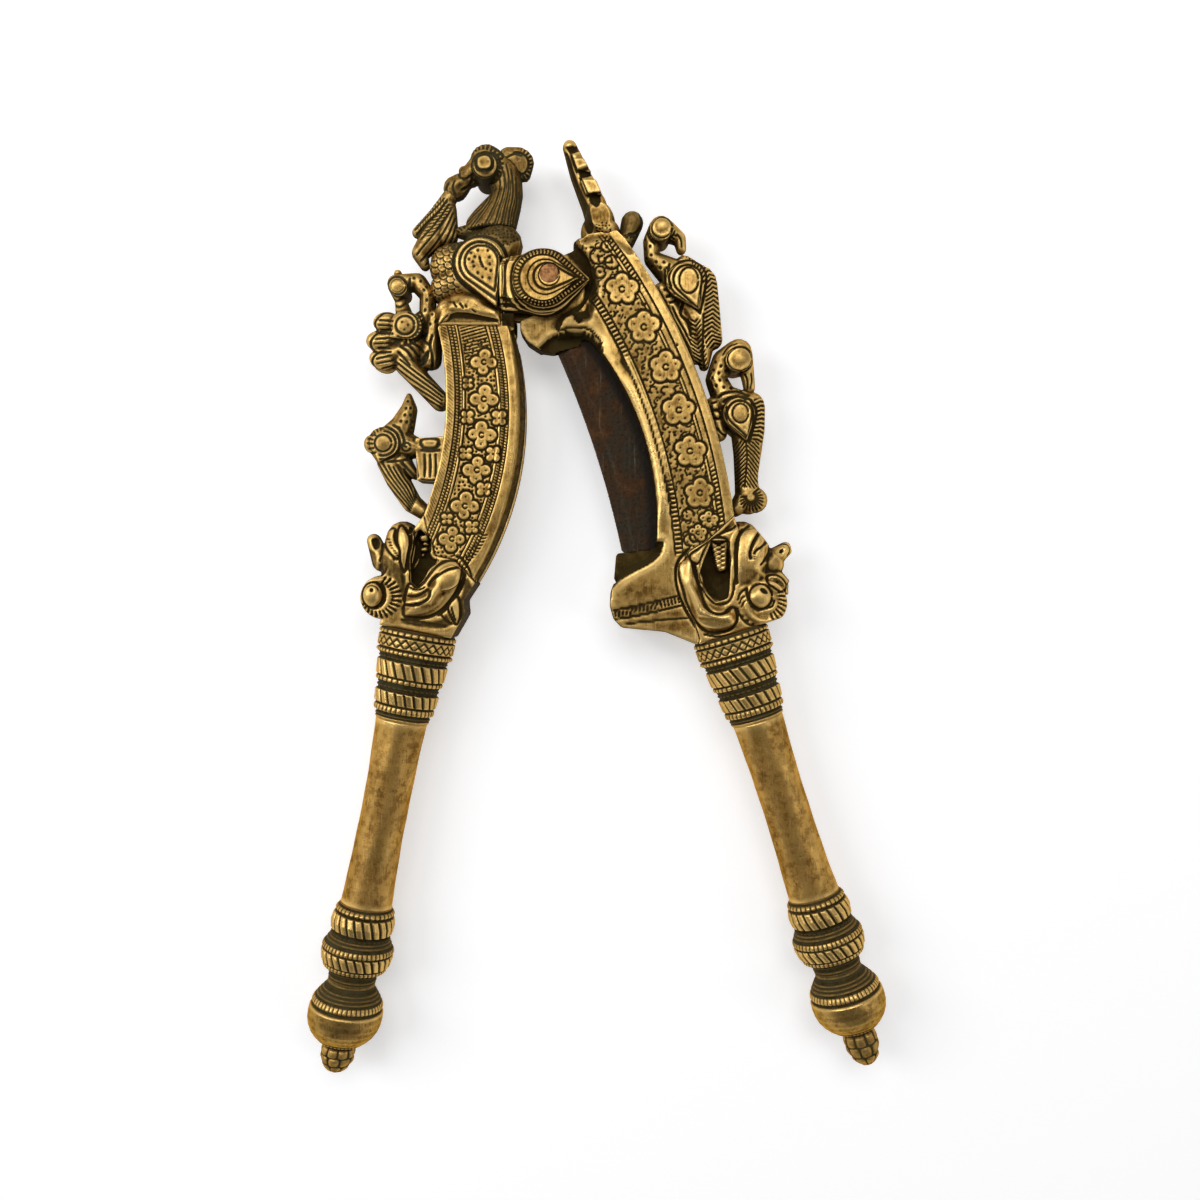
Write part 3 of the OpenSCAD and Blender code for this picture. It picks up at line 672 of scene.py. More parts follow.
class Chisel:
    # cuts and raises a casting's two faces along lines given in pixels of the photograph
    def __init__(self, piece, least=0.0):
        self.piece = piece
        self.co, self.normal = readPoints(piece), readPoints(piece, "normal")
        self.at = toPhoto(self.co)
        side = np.sign(self.co[:, 2] - midHeight)
        out = self.normal[:, 2] * side
        self.side = side
        self.face = smoothstep(0.05, 0.5, out) * (np.abs(self.co[:, 2] - midHeight) >= least)
        self.cut = np.zeros(len(self.co))
        self.rise = np.zeros(len(self.co))
        self.dark = np.zeros(len(self.co))
        self.film = np.zeros(len(self.co))

    def deepen(self, here, depth, dark):
        self.cut[here] = np.maximum(self.cut[here], depth)
        self.dark[here] = np.maximum(self.dark[here], dark)

    def near(self, x, y, reach):
        return np.flatnonzero((self.face > 0) & (np.abs(self.at - (x, y)) < reach).all(1))

    def measure(self, line, reach, everywhere=False):
        # the points near a line, and each one's distance, place along it and side of it
        low, high = line.min(0) - reach, line.max(0) + reach
        here = np.flatnonzero(((self.face > 0) | everywhere) & (self.at >= low).all(1) & (self.at <= high).all(1))
        p = self.at[here]
        best, along, side = np.full(len(here), 1e9), np.zeros(len(here)), np.zeros(len(here))
        run = 0.0
        for a, b in zip(line, line[1:]):
            d = b - a
            length = math.hypot(*d)
            if length < 1e-9:
                continue
            t = np.clip((p - a) @ d / length ** 2, 0, 1)
            gap = p - a - t[:, None] * d
            far = np.hypot(gap[:, 0], gap[:, 1])
            near = far < best
            best[near] = far[near]
            along[near] = run + t[near] * length
            side[near] = np.sign(d[0] * gap[near, 1] - d[1] * gap[near, 0])
            run += length
        keep = best < reach
        return here[keep], best[keep], along[keep], side[keep], run

    def inside(self, outline, reach=60, everywhere=False):
        # signed distance to a closed outline, above 0 inside it
        line = np.vstack([outline, outline[:1]])
        here, gap, along, side, run = self.measure(line, reach, everywhere)
        p = self.at[here]
        within = np.zeros(len(here), bool)
        for a, b in zip(line, line[1:]):
            crosses = (a[1] > p[:, 1]) != (b[1] > p[:, 1])
            with np.errstate(divide="ignore", invalid="ignore"):
                x = a[0] + (p[:, 1] - a[1]) * (b[0] - a[0]) / (b[1] - a[1])
            within ^= crosses & (p[:, 0] < x)
        return here, np.where(within, gap, -gap)

    def groove(self, points, width=2.6, depth=0.4, loop=False, dark=0.95, bend=None):
        # one line, or several parted by semicolons
        for part in points.split(";") if isinstance(points, str) else [points]:
            line = trace(part, bend, loop)
            if loop:
                line = np.vstack([line, line[:1]])
            here, gap, along, side, run = self.measure(line, width)
            ends = 1.0 if loop else smoothstep(-0.5, 2.5, along) * smoothstep(run + 0.5, run - 2.5, along)
            shape = np.clip(1 - (gap / (width / 2 + 0.35)) ** 2, 0, 1) * ends
            self.deepen(here, depth * shape, dark * smoothstep(width / 2 + 0.5, width / 2 - 0.7, gap) * ends)

    def ridge(self, points, width=4.0, height=0.4):
        here, gap, along, side, run = self.measure(trace(points), width)
        ends = smoothstep(-0.5, 3, along) * smoothstep(run + 0.5, run - 3, along)
        shape = np.clip(1 - (gap / (width / 2)) ** 2, 0, 1) ** 0.7 * ends
        self.rise[here] = np.maximum(self.rise[here], height * shape)

    def puff(self, outline, height=0.6, edge=5.0, bend=None, rim=0.8):
        # swells everything inside the outline like a pad
        here, deep = self.inside(trace(outline, bend, True))
        t = np.clip(deep / edge, 0, 1)
        self.rise[here] += height * np.sqrt(1 - (1 - t) ** 2) * (deep > 0)
        self.cut[here] = np.where(deep > 0.8, 0, self.cut[here])
        self.dark[here] = np.where(deep > 0.8, 0, self.dark[here])
        if rim:
            self.deepen(here, 0.3 * smoothstep(2.0, 0.4, np.abs(deep + 0.8)),
                    rim * smoothstep(2.0, 0.6, np.abs(deep + 0.6)))

    def sink(self, outline, depth=0.8, edge=3.0, bend=None, dark=0.9):
        here, deep = self.inside(trace(outline, bend, True))
        self.deepen(here, depth * smoothstep(0, edge, deep), dark * smoothstep(-0.3, edge * 0.8, deep))

    def flatten(self, outline, height, tone):
        # brings everything inside the outline down to one height, walls too
        here, deep = self.inside(pixels(outline), everywhere=True)
        rise = np.abs(self.co[here, 2] - midHeight)
        t = smoothstep(-1.0, 0.8, deep)
        self.co[here, 2] += self.side[here] * (height - rise) * t * (rise > height)
        self.face[here] = np.maximum(self.face[here], t)
        self.dark[here] = np.maximum(self.dark[here], tone * t)

    def tint(self, outline, tone, edge=5.0, bend=None):
        # darkens everything inside the outline, low surfaces too: tarnish in some places, painted shade in others
        here, deep = self.inside(trace(outline, bend, True), everywhere=True)
        self.film[here] = np.maximum(self.film[here], tone * smoothstep(-edge / 2, edge / 2, deep))

    def slope(self, points, reach, foot, top=7.0):
        # brings the surface on the right of a line down to a low foot along it
        here, gap, along, side, run = self.measure(trace(points), reach, everywhere=True)
        target = foot + (top - foot) * smoothstep(0, reach, gap) * (side < 0)
        tall = np.abs(self.co[here, 2] - midHeight)
        self.co[here, 2] = np.where(tall > target, midHeight + self.side[here] * target, self.co[here, 2])

    def grab(self, x, y, reach, dx, dy):
        # pulls the outline about, in pixels of the photograph
        pull = smoothstep(reach, reach * 0.2, np.hypot(*(self.at - (x, y)).T))
        self.co[:, :2] += pull[:, None] * (dx * shot["mmPerPixel"], -dy * shot["mmPerPixel"])
        self.at += pull[:, None] * (dx, dy)

    def boss(self, x, y, r, height=0.5, rings=(), squash=1.0, edge=0.45):
        # a flat-topped disc with grooves round it
        here = self.near(x, y, r * 1.3)
        d = np.hypot(self.at[here, 0] - x, (self.at[here, 1] - y) / squash)
        self.rise[here] += height * smoothstep(r, r * (1 - edge), d)
        self.dark[here] = np.where(d < r - 0.6, 0, self.dark[here])
        self.cut[here] = np.where(d < r - 0.6, 0, self.cut[here])
        for at, width, depth in rings:
            self.groove(ring(x, y, at, 40, squash), width, depth)

    def dots(self, centres, r=1.5, depth=0.3, dark=0.95):
        for x, y in pixels(centres):
            here = self.near(x, y, r + 1.5)
            d = np.hypot(*(self.at[here] - (x, y)).T)
            self.deepen(here, depth * smoothstep(r + 0.4, r * 0.3, d), dark * smoothstep(r + 0.5, r * 0.4, d))

    def ticks(self, points, low, high, pitch=4.0, depth=0.3, slant=0.0, share=0.42, dark=0.9, fade=2.0):
        # short cuts side by side along a line, from low to high pixels off it
        here, gap, along, side, run = self.measure(trace(points), high + 1)
        band = smoothstep(low - 0.6, low + 0.6, gap) * smoothstep(high + 0.6, high - 0.6, gap)
        band *= smoothstep(-0.5, fade, along) * smoothstep(run + 0.5, run - fade, along)
        phase = ((along + slant * gap) / pitch) % 1
        mark = smoothstep(share / 2 + 0.09, share / 2 - 0.09, np.minimum(phase, 1 - phase))
        self.deepen(here, depth * band * mark, dark * band * mark)

    def jitter(self, here, pitch, seed):
        # distance to the nearest of a scattered lattice of points
        p = self.at[here]
        cell = np.floor(p / pitch)
        best = np.full(len(here), 1e9)
        for i in (-1, 0, 1):
            for j in (-1, 0, 1):
                c = cell + (i, j)
                a = np.sin(c[:, 0] * 12.9898 + c[:, 1] * 78.233 + seed) * 43758.5453
                b = np.sin(c[:, 0] * 39.3468 + c[:, 1] * 11.135 + seed * 2) * 24634.6345
                spot = (c + 0.5 + 0.6 * (np.stack([a % 1, b % 1], 1) - 0.5)) * pitch
                best = np.minimum(best, np.hypot(*(p - spot).T))
        return best

    def stipple(self, outline, pitch=4.0, r=1.0, depth=0.2, dark=0.8, seed=1.0):
        # scattered punch marks
        here, deep = self.inside(trace(outline, loop=True), 80)
        here = here[deep > 0.5]
        d = self.jitter(here, pitch, seed)
        self.deepen(here, depth * smoothstep(r + 0.5, r * 0.3, d), dark * smoothstep(r + 0.6, r * 0.4, d))

    def scales(self, outline, wide=9.0, tall=7.0, turn=0.0, depth=0.4, dark=0.95):
        # overlapping rounded scales; each one swells to its rim and hides the root of the next
        here, deep = self.inside(trace(outline, loop=True), 80)
        here, deep = here[deep > 0], deep[deep > 0]
        c, s = math.cos(turn), math.sin(turn)
        x, y = self.at[here, 0] * c + self.at[here, 1] * s, -self.at[here, 0] * s + self.at[here, 1] * c
        radius = wide * 0.58
        swell, rim = np.zeros(len(here)), np.ones(len(here))
        for step in (2, 1, 0, -1):
            row = np.floor(y / tall) + step
            off = (row % 2) * wide / 2
            centre = (np.round((x - off) / wide)) * wide + off
            share = np.hypot(x - centre, (y - row * tall) * 0.9) / radius
            over = share < 1
            swell = np.where(over, share ** 2 * 0.8, swell)
            rim = np.where(over, smoothstep(0.72, 0.98, share), rim)
        edge = smoothstep(0, 3, deep)
        self.rise[here] += depth * 0.7 * (swell - 0.5) * (1 - rim) * edge
        self.deepen(here, depth * rim * edge, dark * rim * edge)

    def done(self, node, wearGain=9.0, dirtGain=7.0, baseTarnishAndShade=0.0, limit=10.3, walls=0.5):
        self.co[:, 2] += self.side * self.face * self.rise
        self.co -= self.normal * (self.face * self.cut)[:, None]
        self.co[:, 2] = np.clip(self.co[:, 2], midHeight - limit, midHeight + limit)
        writePoints(self.piece, self.co)
        dark = np.clip(np.maximum(self.dark * self.face, self.film), 0, 1)
        finishPiece(self.piece, node, dark, wearGain, dirtGain, baseTarnishAndShade, walls)


def carvePeacockHead():
    piece = castPiece("peacock_head", 0.25, 4, bothFaces("torus", 485, 165, 5.9, (2.5, 2.5, 1.7))
            + bothFaces("ball", 484.5, 164, 5.6, (2.0, 2.0, 1.1)))
    c = Chisel(piece)
    c.groove(ring(485, 165, 13.0, 40), 2.2, 0.35, dark=0.8)
    c.groove(ring(485, 167, 17.5, 40, 1.0, 20, 150), 2.0, 0.3, dark=0.6)
    c.puff("478.5,157 485,155 490.5,157.5 492,164 489.5,169 482,170 477.5,167.5 476.5,161", 0.45, 1.6, rim=1.0)
    c.ticks(ring(483.5, 164, 17.5, 40, 1.0, -150, 60), 0, 2.6, 4.5, 0.3)
    c.groove("492,147 500,152 504,158", 1.8, 0.3)
    c.groove("490,152 497,155 500,161 500,170", 1.8, 0.35)
    # beak lobe and the nodule over it
    c.groove("472,173 472,181 468,187 461,190", 2.4, 0.45)
    c.groove("459,171 460,177 466,179 471,175", 2.0, 0.35)
    c.groove("449,182 446,189 448,196", 2.2, 0.35)
    c.groove("455,180 453,188 456,196", 1.8, 0.25)
    c.ridge("452,186 458,182 465,181", 6, 0.35)
    # long wavy plumes down the neck
    for line in ("497,172 500,184 497,198 492,210 486,222 480,232",
                 "501,165 505,180 503,195 499,209 495,223 491,238",
                 "506,163 509,178 508,193 505,207 502,222 499,240",
                 "511,168 513,182 513,197 510,211 508,226 506,240",
                 "516,176 517,190 517,204 514,217 513,232",
                 "493,186 490,199 483,210 475,221 468,230",
                 "488,198 482,207 473,216 464,225"):
        c.groove(line, 1.3, 0.24, dark=0.5)
        c.groove(pixels(line)[1:] + (2.2, 1), 0.9, 0.14, dark=0.35, bend=True)
    c.ticks("462,233 485,226 512,227", 0, 3, 3.6, 0.25)
    c.done("peacock_head", baseTarnishAndShade=0.34, wearGain=6, dirtGain=4)


def carveCrest():
    knob = [addForm("ball", fromPhoto(515, 165), (3.3, 4.8, 2.6), math.radians(8))]
    c = Chisel(castPiece("peacock_crest", 0.22, 4, knob))
    c.groove(ring(517, 164, 12, 30, 1.0, -110, 80), 2.2, 0.4)
    c.ticks(ring(517, 164, 15.4, 40, 1.0, -75, 70), 0, 3.2, 4.2, 0.35)
    c.groove("506,158 514,154 523,156; 510,170 518,172 525,178", 1.8, 0.25)
    c.done("peacock_crest", baseTarnishAndShade=0.3)


def carveBeakSpray():
    c = Chisel(castPiece("beak_spray", 0.25, 3))
    c.groove("448,199 438,212 427,223 416,236; 450,203 441,216 431,228 420,240; 445,197 434,209 423,220 414,231; "
            "452,208 443,222 433,235 423,247 416,256; 454,212 447,226 438,241 428,254 420,262; 456,218 450,232 "
            "443,246 433,259 425,266; 457,225 453,238 448,250", 1.8, 0.4, dark=0.5)
    c.ticks("446,200 434,216 422,234", 0.5, 10, 4.2, 0.22, slant=1.1, share=0.35, dark=0.35)
    c.done("beak_spray", baseTarnishAndShade=0.28)


def carvePeacockBody():
    collar = [addForm("ball", fromPhoto(484, 233), (8.6, 2.5, 3.4))]
    c = Chisel(castPiece("peacock_body", 0.27, 6, collar))
    # scaled breast, pitted collar, and the teardrop wing with its dots
    c.scales("424,262 432,240 455,232 460,250 455,272 463,290 470,303 444,304 430,300 422,282", 8.6, 5.6, 0.5, 0.5)
    c.sink("448,236 462,224 482,217 505,216 521,222 521,240 505,246 485,238 466,244 452,252", 0.15, 4, dark=0.42)
    c.stipple("448,232 470,219 495,214 518,220 520,240 505,246 485,238 466,244 452,252", 3.8, 1.1, 0.3, seed=3.0)
    c.ticks("450,240 463,227 482,221 503,221 518,227", 0, 2.4, 3.8, 0.35)
    wing = teardrop(480.5, 263, 27.0, 498.5, 314)
    c.puff(wing, 0.35, 3.0)
    c.groove(wing, 3.0, 0.6, loop=True)
    c.groove(teardrop(480.5, 263, 20.8, 497, 300), 2.4, 0.45, loop=True)
    c.groove(teardrop(481.5, 262, 16.6, 495, 291), 2.0, 0.4, loop=True)
    c.dots("471,253 478,250.5 488,250.5 469,259.5 475,257 489.5,257.5 474,266.5 486,269 490,264.5 478,273 482.5,277.5 "
            "489.5,278.5 487,285.5 473,262 491,271", 1.25, 0.32)
    c.groove("479.5,256 481,262 484,268.5", 2.2, 0.35)
    # bright folds between the body and the hinge
    c.ridge("503,262 506,275 504,290 499,305", 4.0, 0.5)
    c.groove("508,258 511,275 509,292 504,308", 3.0, 0.6)
    c.groove("501,262 502,276 500,292", 2.4, 0.4)
    c.groove("442,302 460,300 478,301", 3.0, 0.4)
    c.done("peacock_body", baseTarnishAndShade=0.08)


def carveCheek(node):
    side = 1 if node == "front_cheek" else -1
    c = Chisel(castPiece(node, 0.24, 60, [addForm("ball", fromPhoto(511, 293, 5.6 * side), (3.4, 5.0, 1.9))]),
            least=4.2)
    # rounded over towards its edges, with folds at its root
    here, deep = c.inside(teardrop(543.5, 278, 34, 593, 280), 60)
    c.rise[here] += 0.55 * smoothstep(0, 22, deep)
    lobes = [teardrop(543.5, 277.5, 32.5, 592.5, 279), teardrop(542.5, 277.5, 26.5, 585, 279.5),
            teardrop(545, 276.5, 17.6, 583, 278), teardrop(546.5, 276, 13, 576.5, 277.5)]
    c.sink("498,246 515,246 511,260 508,280 512,300 520,312 498,316", 0.9, 6.0, dark=0.35)
    c.ridge("512,252 508,268 508,288 514,304 527,314", 3.6, 0.5)
    c.ridge("502,258 503,278 501,300", 3.4, 0.5)
    c.groove("507,252 505,268 505,290 506,312", 2.8, 0.6)
    c.groove("514,262 511,277 513,294 522,307 536,314 556,313", 2.4, 0.5)
    c.groove(lobes[0], 2.2, 0.4, loop=True)
    line = np.vstack([lobes[1], lobes[1][:1]])
    c.ticks(line, 0, 2.6, 3.7, 0.4, share=0.5, fade=0.1)
    c.groove(teardrop(542.8, 277.5, 29.6, 588.5, 279.3), 1.7, 0.25, loop=True, dark=0.7)
    c.groove(teardrop(542.8, 277.5, 23.6, 582, 279.3), 2.6, 0.5, loop=True)
    c.groove(lobes[2], 2.0, 0.35, loop=True)
    c.groove(lobes[3], 3.0, 0.55, loop=True)
    c.groove(ring(549, 275, 10.2, 36), 2.0, 0.35)
    c.stipple("515,246 545,243 575,252 590,268 586,272 560,256 540,252 522,256", 4.0, 1.0, 0.3, seed=5.0)
    c.done(node, limit=10.4, walls=0.95)


def carvePlinth():
    roll = [addForm("ball", fromPhoto(473, 308.5), (7.8, 3.2, 8.6), math.radians(-9)),
            addForm("ball", fromPhoto(447, 313), (2.6, 4.0, 7.8), math.radians(-40))]
    c = Chisel(castPiece("plinth", 0.25, 60, roll))
    c.groove("453,301 457,308; 459,302 464,309; 465,304 467,308; 471,309 477,313", 2.0, 0.35)
    c.sink("446,318 452,313.5 470,314 486,317 500,320 502,327 440,327", 0.7, 2.5, dark=0.35)
    c.groove("449,315.5 457,313.5 470,314.5 484,317.5 500,320.5", 2.0, 0.5)
    c.groove("439,327 442,321 449,314", 1.8, 0.3, dark=0.7)
    c.done("plinth", baseTarnishAndShade=0.05)


def carveSpur():
    root = [addForm("ball", fromPhoto(600, 224), (4.1, 5.4, 9.2), math.radians(14)),
            addForm("ball", fromPhoto(594, 234), (3.6, 4.6, 5.6)),
            addForm("ball", fromPhoto(606, 234), (3.9, 3.2, 7.6)),
            addForm("ball", fromPhoto(596, 213), (3.1, 6.2, 4.8), math.radians(20))]
    c = Chisel(castPiece("stop_spur", 0.27, 8, root))
    tall = np.minimum(np.abs(c.co[:, 2] - midHeight), 7.05)
    c.co[:, 2] = midHeight + c.side * tall
    # flank painted dark as the shade of its sloping side, polished steps and dark notches between them
    c.sink("562,154 569,154 574,168 578,181 584,195 589,205 592,215 594,232 586,234 579,212 571,194 565,177", 0.2,
            3.0, dark=0.72)
    for outline in ("571,154 583,150 590,166 577,171", "581,178 594,175 603,192 589,196"):
        c.puff(outline, 0.4, 2.2, bend=False, rim=0.45)
    for outline in ("564,147 573,144 580,147 579,151 569,155", "576,170 590,166 593,174 580,179"):
        c.sink(outline, 0.7, 3.0, bend=False, dark=0.8)
    c.sink(ring(595, 199, 7.0, 20), 0.9, 3.5, bend=True, dark=0.85)
    c.stipple("594,226 606,220 616,236 604,240", 3.6, 0.9, 0.2, dark=0.5, seed=7.0)
    c.done("stop_spur", baseTarnishAndShade=0.12)


def carveBud():
    c = Chisel(castPiece("shoulder_bud", 0.25, 3))
    c.groove("640,214 642,224 636,233 627,235", 2.4, 0.4)
    c.groove("644,219 645,229 638,238", 2.0, 0.35)
    c.stipple("622,236 640,232 640,256 625,250", 4.0, 1.0, 0.3, seed=2.0)
    c.done("shoulder_bud", baseTarnishAndShade=0.45)


carvePeacockHead()
carveCrest()
carveBeakSpray()
carvePeacockBody()
carveCheek("front_cheek")
carveCheek("back_cheek")
carvePlinth()
carveSpur()
carveBud()
print("peacock and hinge carved")


anvilArcs = {"outer": ((-110, -31.9), 82.6), "inner": ((-92, -35.3), 84.0)}
bladeArcs = {"outer": ((-114.3, -84.6), 164.4), "border": ((-110.9, -83.4), 145.4), "recess": ((-47.6, -64.4), 75.9)}


def refineFaces(piece, keep, cuts=1):
    # subdivides the flat decorated faces only
    choose(piece)
    polygons = piece.data.polygons
    centres = np.zeros(len(polygons) * 3, np.float32)
    normals = np.zeros(len(polygons) * 3, np.float32)
    polygons.foreach_get("center", centres)
    polygons.foreach_get("normal", normals)
    centres, normals = centres.reshape(-1, 3) / mm, normals.reshape(-1, 3)
    picked = (np.abs(normals[:, 2]) > 0.6) & (np.abs(centres[:, 2] - midHeight) > 5.5) & keep(centres)
    for kind in (piece.data.vertices, piece.data.edges):
        kind.foreach_set("select", np.zeros(len(kind), bool))
    polygons.foreach_set("select", picked)
    bpy.ops.object.mode_set(mode="EDIT")
    bpy.ops.mesh.select_mode(type="FACE")
    bpy.ops.mesh.subdivide(number_cuts=cuts)
    bpy.ops.object.mode_set(mode="OBJECT")


def arcField(c, arc):
    # how far each point lies outside the arc, and its place along it, mm
    (x, y), r = arc
    dx, dy = c.co[:, 0] - x, c.co[:, 1] - y
    return np.hypot(dx, dy) - r, np.arctan2(dy, dx) * r


def fadeRails(c, rails, arcs, flat=7.0, ramp=7):
    # the rails sink into the surface at their ends
    tall = np.abs(c.co[:, 2] - midHeight)
    for arc, low, high, start, end in rails:
        over, run = arcField(c, arcs[arc])
        degrees = np.degrees(run / arcs[arc][1])
        fade = smoothstep(start, start + ramp, degrees) * smoothstep(end, end - ramp, degrees)
        ends = (over > low) & (over < high) & (tall > flat) & (np.abs(degrees) < 60)
        c.co[:, 2] = np.where(ends, midHeight + c.side * (flat + (tall - flat) * fade), c.co[:, 2])


def bandCut(c, off, at, width, depth, where=1.0, dark=0.95):
    shape = np.clip(1 - ((off - at) / (width / 2 + 0.08)) ** 2, 0, 1) * where * (c.face > 0)
    rim = smoothstep(width / 2 + 0.14, width / 2 - 0.12, np.abs(off - at)) * where * (c.face > 0)
    c.deepen(slice(None), depth * shape, dark * rim)


def ladder(c, off, along, low, high, pitch, depth, slant=0.0, share=0.45, where=1.0, dark=0.9):
    band = smoothstep(low - 0.12, low + 0.12, off) * smoothstep(high + 0.12, high - 0.12, off) * where * (c.face > 0)
    phase = ((along + slant * off) / pitch) % 1
    mark = smoothstep(share / 2 + 0.1, share / 2 - 0.1, np.minimum(phase, 1 - phase))
    c.deepen(slice(None), depth * band * mark, dark * band * mark)


def flower(c, x, y, r, petals=5, turn=-90.0, depth=0.34, strong=1.0, dots=True):
    # rounded petals round a small centre ring, outlined by one cut
    here = c.near(x, y, r * 1.4)
    p = c.at[here] - (x, y)
    best = np.hypot(*p.T) - r * 0.45
    turns = np.radians(turn + 360 * np.arange(petals) / petals)
    for i, a in enumerate(turns):
        a += math.radians(5 * math.sin(i * 2.3 + x))
        petal = np.hypot(p[:, 0] - r * 0.56 * math.cos(a), p[:, 1] - r * 0.56 * math.sin(a))
        best = np.minimum(best, petal - r * 0.46 * (1 + 0.09 * math.sin(i * 1.7 + y)))
    for marks in (c.cut, c.dark):
        marks[here] = np.where(best < -0.5, 0, marks[here])
    line = smoothstep(1.75, 0.4, np.abs(best - 0.4))
    c.deepen(here, depth * line, strong * line)
    c.spared[here] = np.maximum(c.spared[here], smoothstep(2.5, 1.0, best))
    if dots:
        c.groove(ring(x, y, r * 0.17, 14), 1.5, 0.22, dark=0.9 * strong)
        c.dots(np.stack([x + r * 0.62 * np.cos(turns), y + r * 0.62 * np.sin(turns)], 1), 0.8, 0.2, 0.85 * strong)


anvilBar = {
    # arc, from and to beside it in mm, from and to along it in degrees
    "rails": (("outer", -0.5, 6.0, -19, 13), ("inner", -8.0, 0.5, -24, 15)),
    # how far inside the edge, width, depth, mm
    "outerLines": ((2.6, 0.36, 0.24), (3.5, 0.3, 0.16), (4.4, 0.3, 0.18), (5.25, 0.36, 0.24)),
    # the same from the inner edge
    "innerLines": ((2.9, 0.36, 0.24), (3.8, 0.3, 0.16), (4.8, 0.3, 0.18), (5.75, 0.36, 0.24)),
    # x, y and radius in pixels, darkness
    "flowers": ((484, 362, 13.5, 0.6), (484, 399, 14.5, 1), (481.5, 435, 14.5, 1), (477, 470, 14.5, 1),
        (465, 506, 14.5, 1), (452, 539, 13.5, 0.7)),
    # x, y and radius in pixels
    "smallFlowers": ((467, 417, 8), (466, 453, 7.5), (499, 418, 9), (493, 454, 9), (484, 489, 8.5), (472, 527, 8),
        (447, 519, 7), (468, 383, 6.5)),
}
bladeBar = {
    # as for the anvil bar
    "rails": (("recess", 0.3, 4.9, -2, 33), ("border", -1.2, 1.2, 8, 33), ("outer", -3.1, 0.3, 9, 33)),
    "outerLines": ((2.8, 0.42, 0.3), (4.35, 0.36, 0.24), (5.2, 0.34, 0.22)),
    # beside the border arc, width, depth, mm
    "borderLines": ((-1.05, 0.45, 0.3), (1.0, 0.42, 0.28)),
    # x, y and radius in pixels
    "flowers": ((622, 289, 16.5), (644, 327, 16.5), (666, 367, 16.5), (679, 410, 16.5), (690, 451, 16.5),
        (700, 493, 15.5), (709, 520, 10), (698, 533, 9.5)),
    "scrolls": ((598, 256, 8), (612, 262, 7), (600, 272, 6), (607, 246, 6)),  # x, y and radius in pixels
}


def carveAnvilBar():
    piece = castPiece("anvil_bar", 0.42, 3, bothFaces("block", 507.5, 322, 4.9, (1.9, 2.2, 1.0)))
    refineFaces(piece, lambda p: p[:, 1] > -84)
    c = Chisel(piece, least=5.0)
    c.spared = np.zeros(len(c.co))
    fadeRails(c, anvilBar["rails"], anvilArcs)
    out, outAlong = arcField(c, anvilArcs["outer"])
    back, backAlong = arcField(c, anvilArcs["inner"])
    inn = -back
    body = smoothstep(-82, -78, c.co[:, 1])
    # background of the flower band: fine chatter lines at the top, scattered nicks below
    middle = smoothstep(5.4, 5.8, out) * smoothstep(5.8, 6.2, inn) * (c.face > 0)
    top = smoothstep(-28, -20, c.co[:, 1]) * middle
    ladder(c, out * 0, backAlong, -1, 1, 1.0, 0.16, share=0.4, where=top, dark=0.7)
    inside = np.flatnonzero((middle > 0.5) & (c.co[:, 1] < -16))
    d = c.jitter(inside, 4.4, 1.7)
    c.deepen(inside, 0.22 * smoothstep(1.8, 0.5, d), 0.75 * smoothstep(1.9, 0.6, d))
    # borders down both sides
    for at, width, depth in anvilBar["outerLines"]:
        bandCut(c, out, at, width, depth, body, dark=0.85)
    ladder(c, out, outAlong, 2.75, 4.3, 0.8, 0.14, slant=0.35, where=body, share=0.38, dark=0.6)
    for at, width, depth in anvilBar["innerLines"]:
        bandCut(c, inn, at, width, depth, body, dark=0.85)
    ladder(c, inn, backAlong, 3.05, 4.7, 0.8, 0.14, slant=-0.35, where=body, share=0.38, dark=0.6)
    ladder(c, out, outAlong, 0.6, 2.2, 0.9, 0.1, slant=0.9, where=body, share=0.3, dark=0.45)
    for x, y, r, strong in anvilBar["flowers"]:
        flower(c, x, y, r, 4, 4, strong=strong)
    for x, y, r in anvilBar["smallFlowers"]:
        flower(c, x, y, r, 4, 45, depth=0.26, strong=0.85, dots=False)
        c.dots([(x, y)], 1.0, 0.2)
    # smooth hook at the foot
    c.groove("492,556 482,576 472,592 467,606", 2.4, 0.35)
    c.groove("455,556 462,559 470,572 472,590", 2.6, 0.4)
    c.ticks("484,532 478,545 470,556 463,562", 0, 4, 3.6, 0.3, slant=0.5)
    # painted shade in the gap under the knuckle, at the bar's top corner
    c.tint("501,308 517,309 517,330 510,326 502,326", 0.8, 2.0, bend=False)
    c.film = np.maximum(c.film, middle * 0.16 * (c.spared < 0.5))
    c.tint("441,322 500,322 508,345 470,352 446,345", 0.22, 14)
    c.done("anvil_bar", walls=0.95)


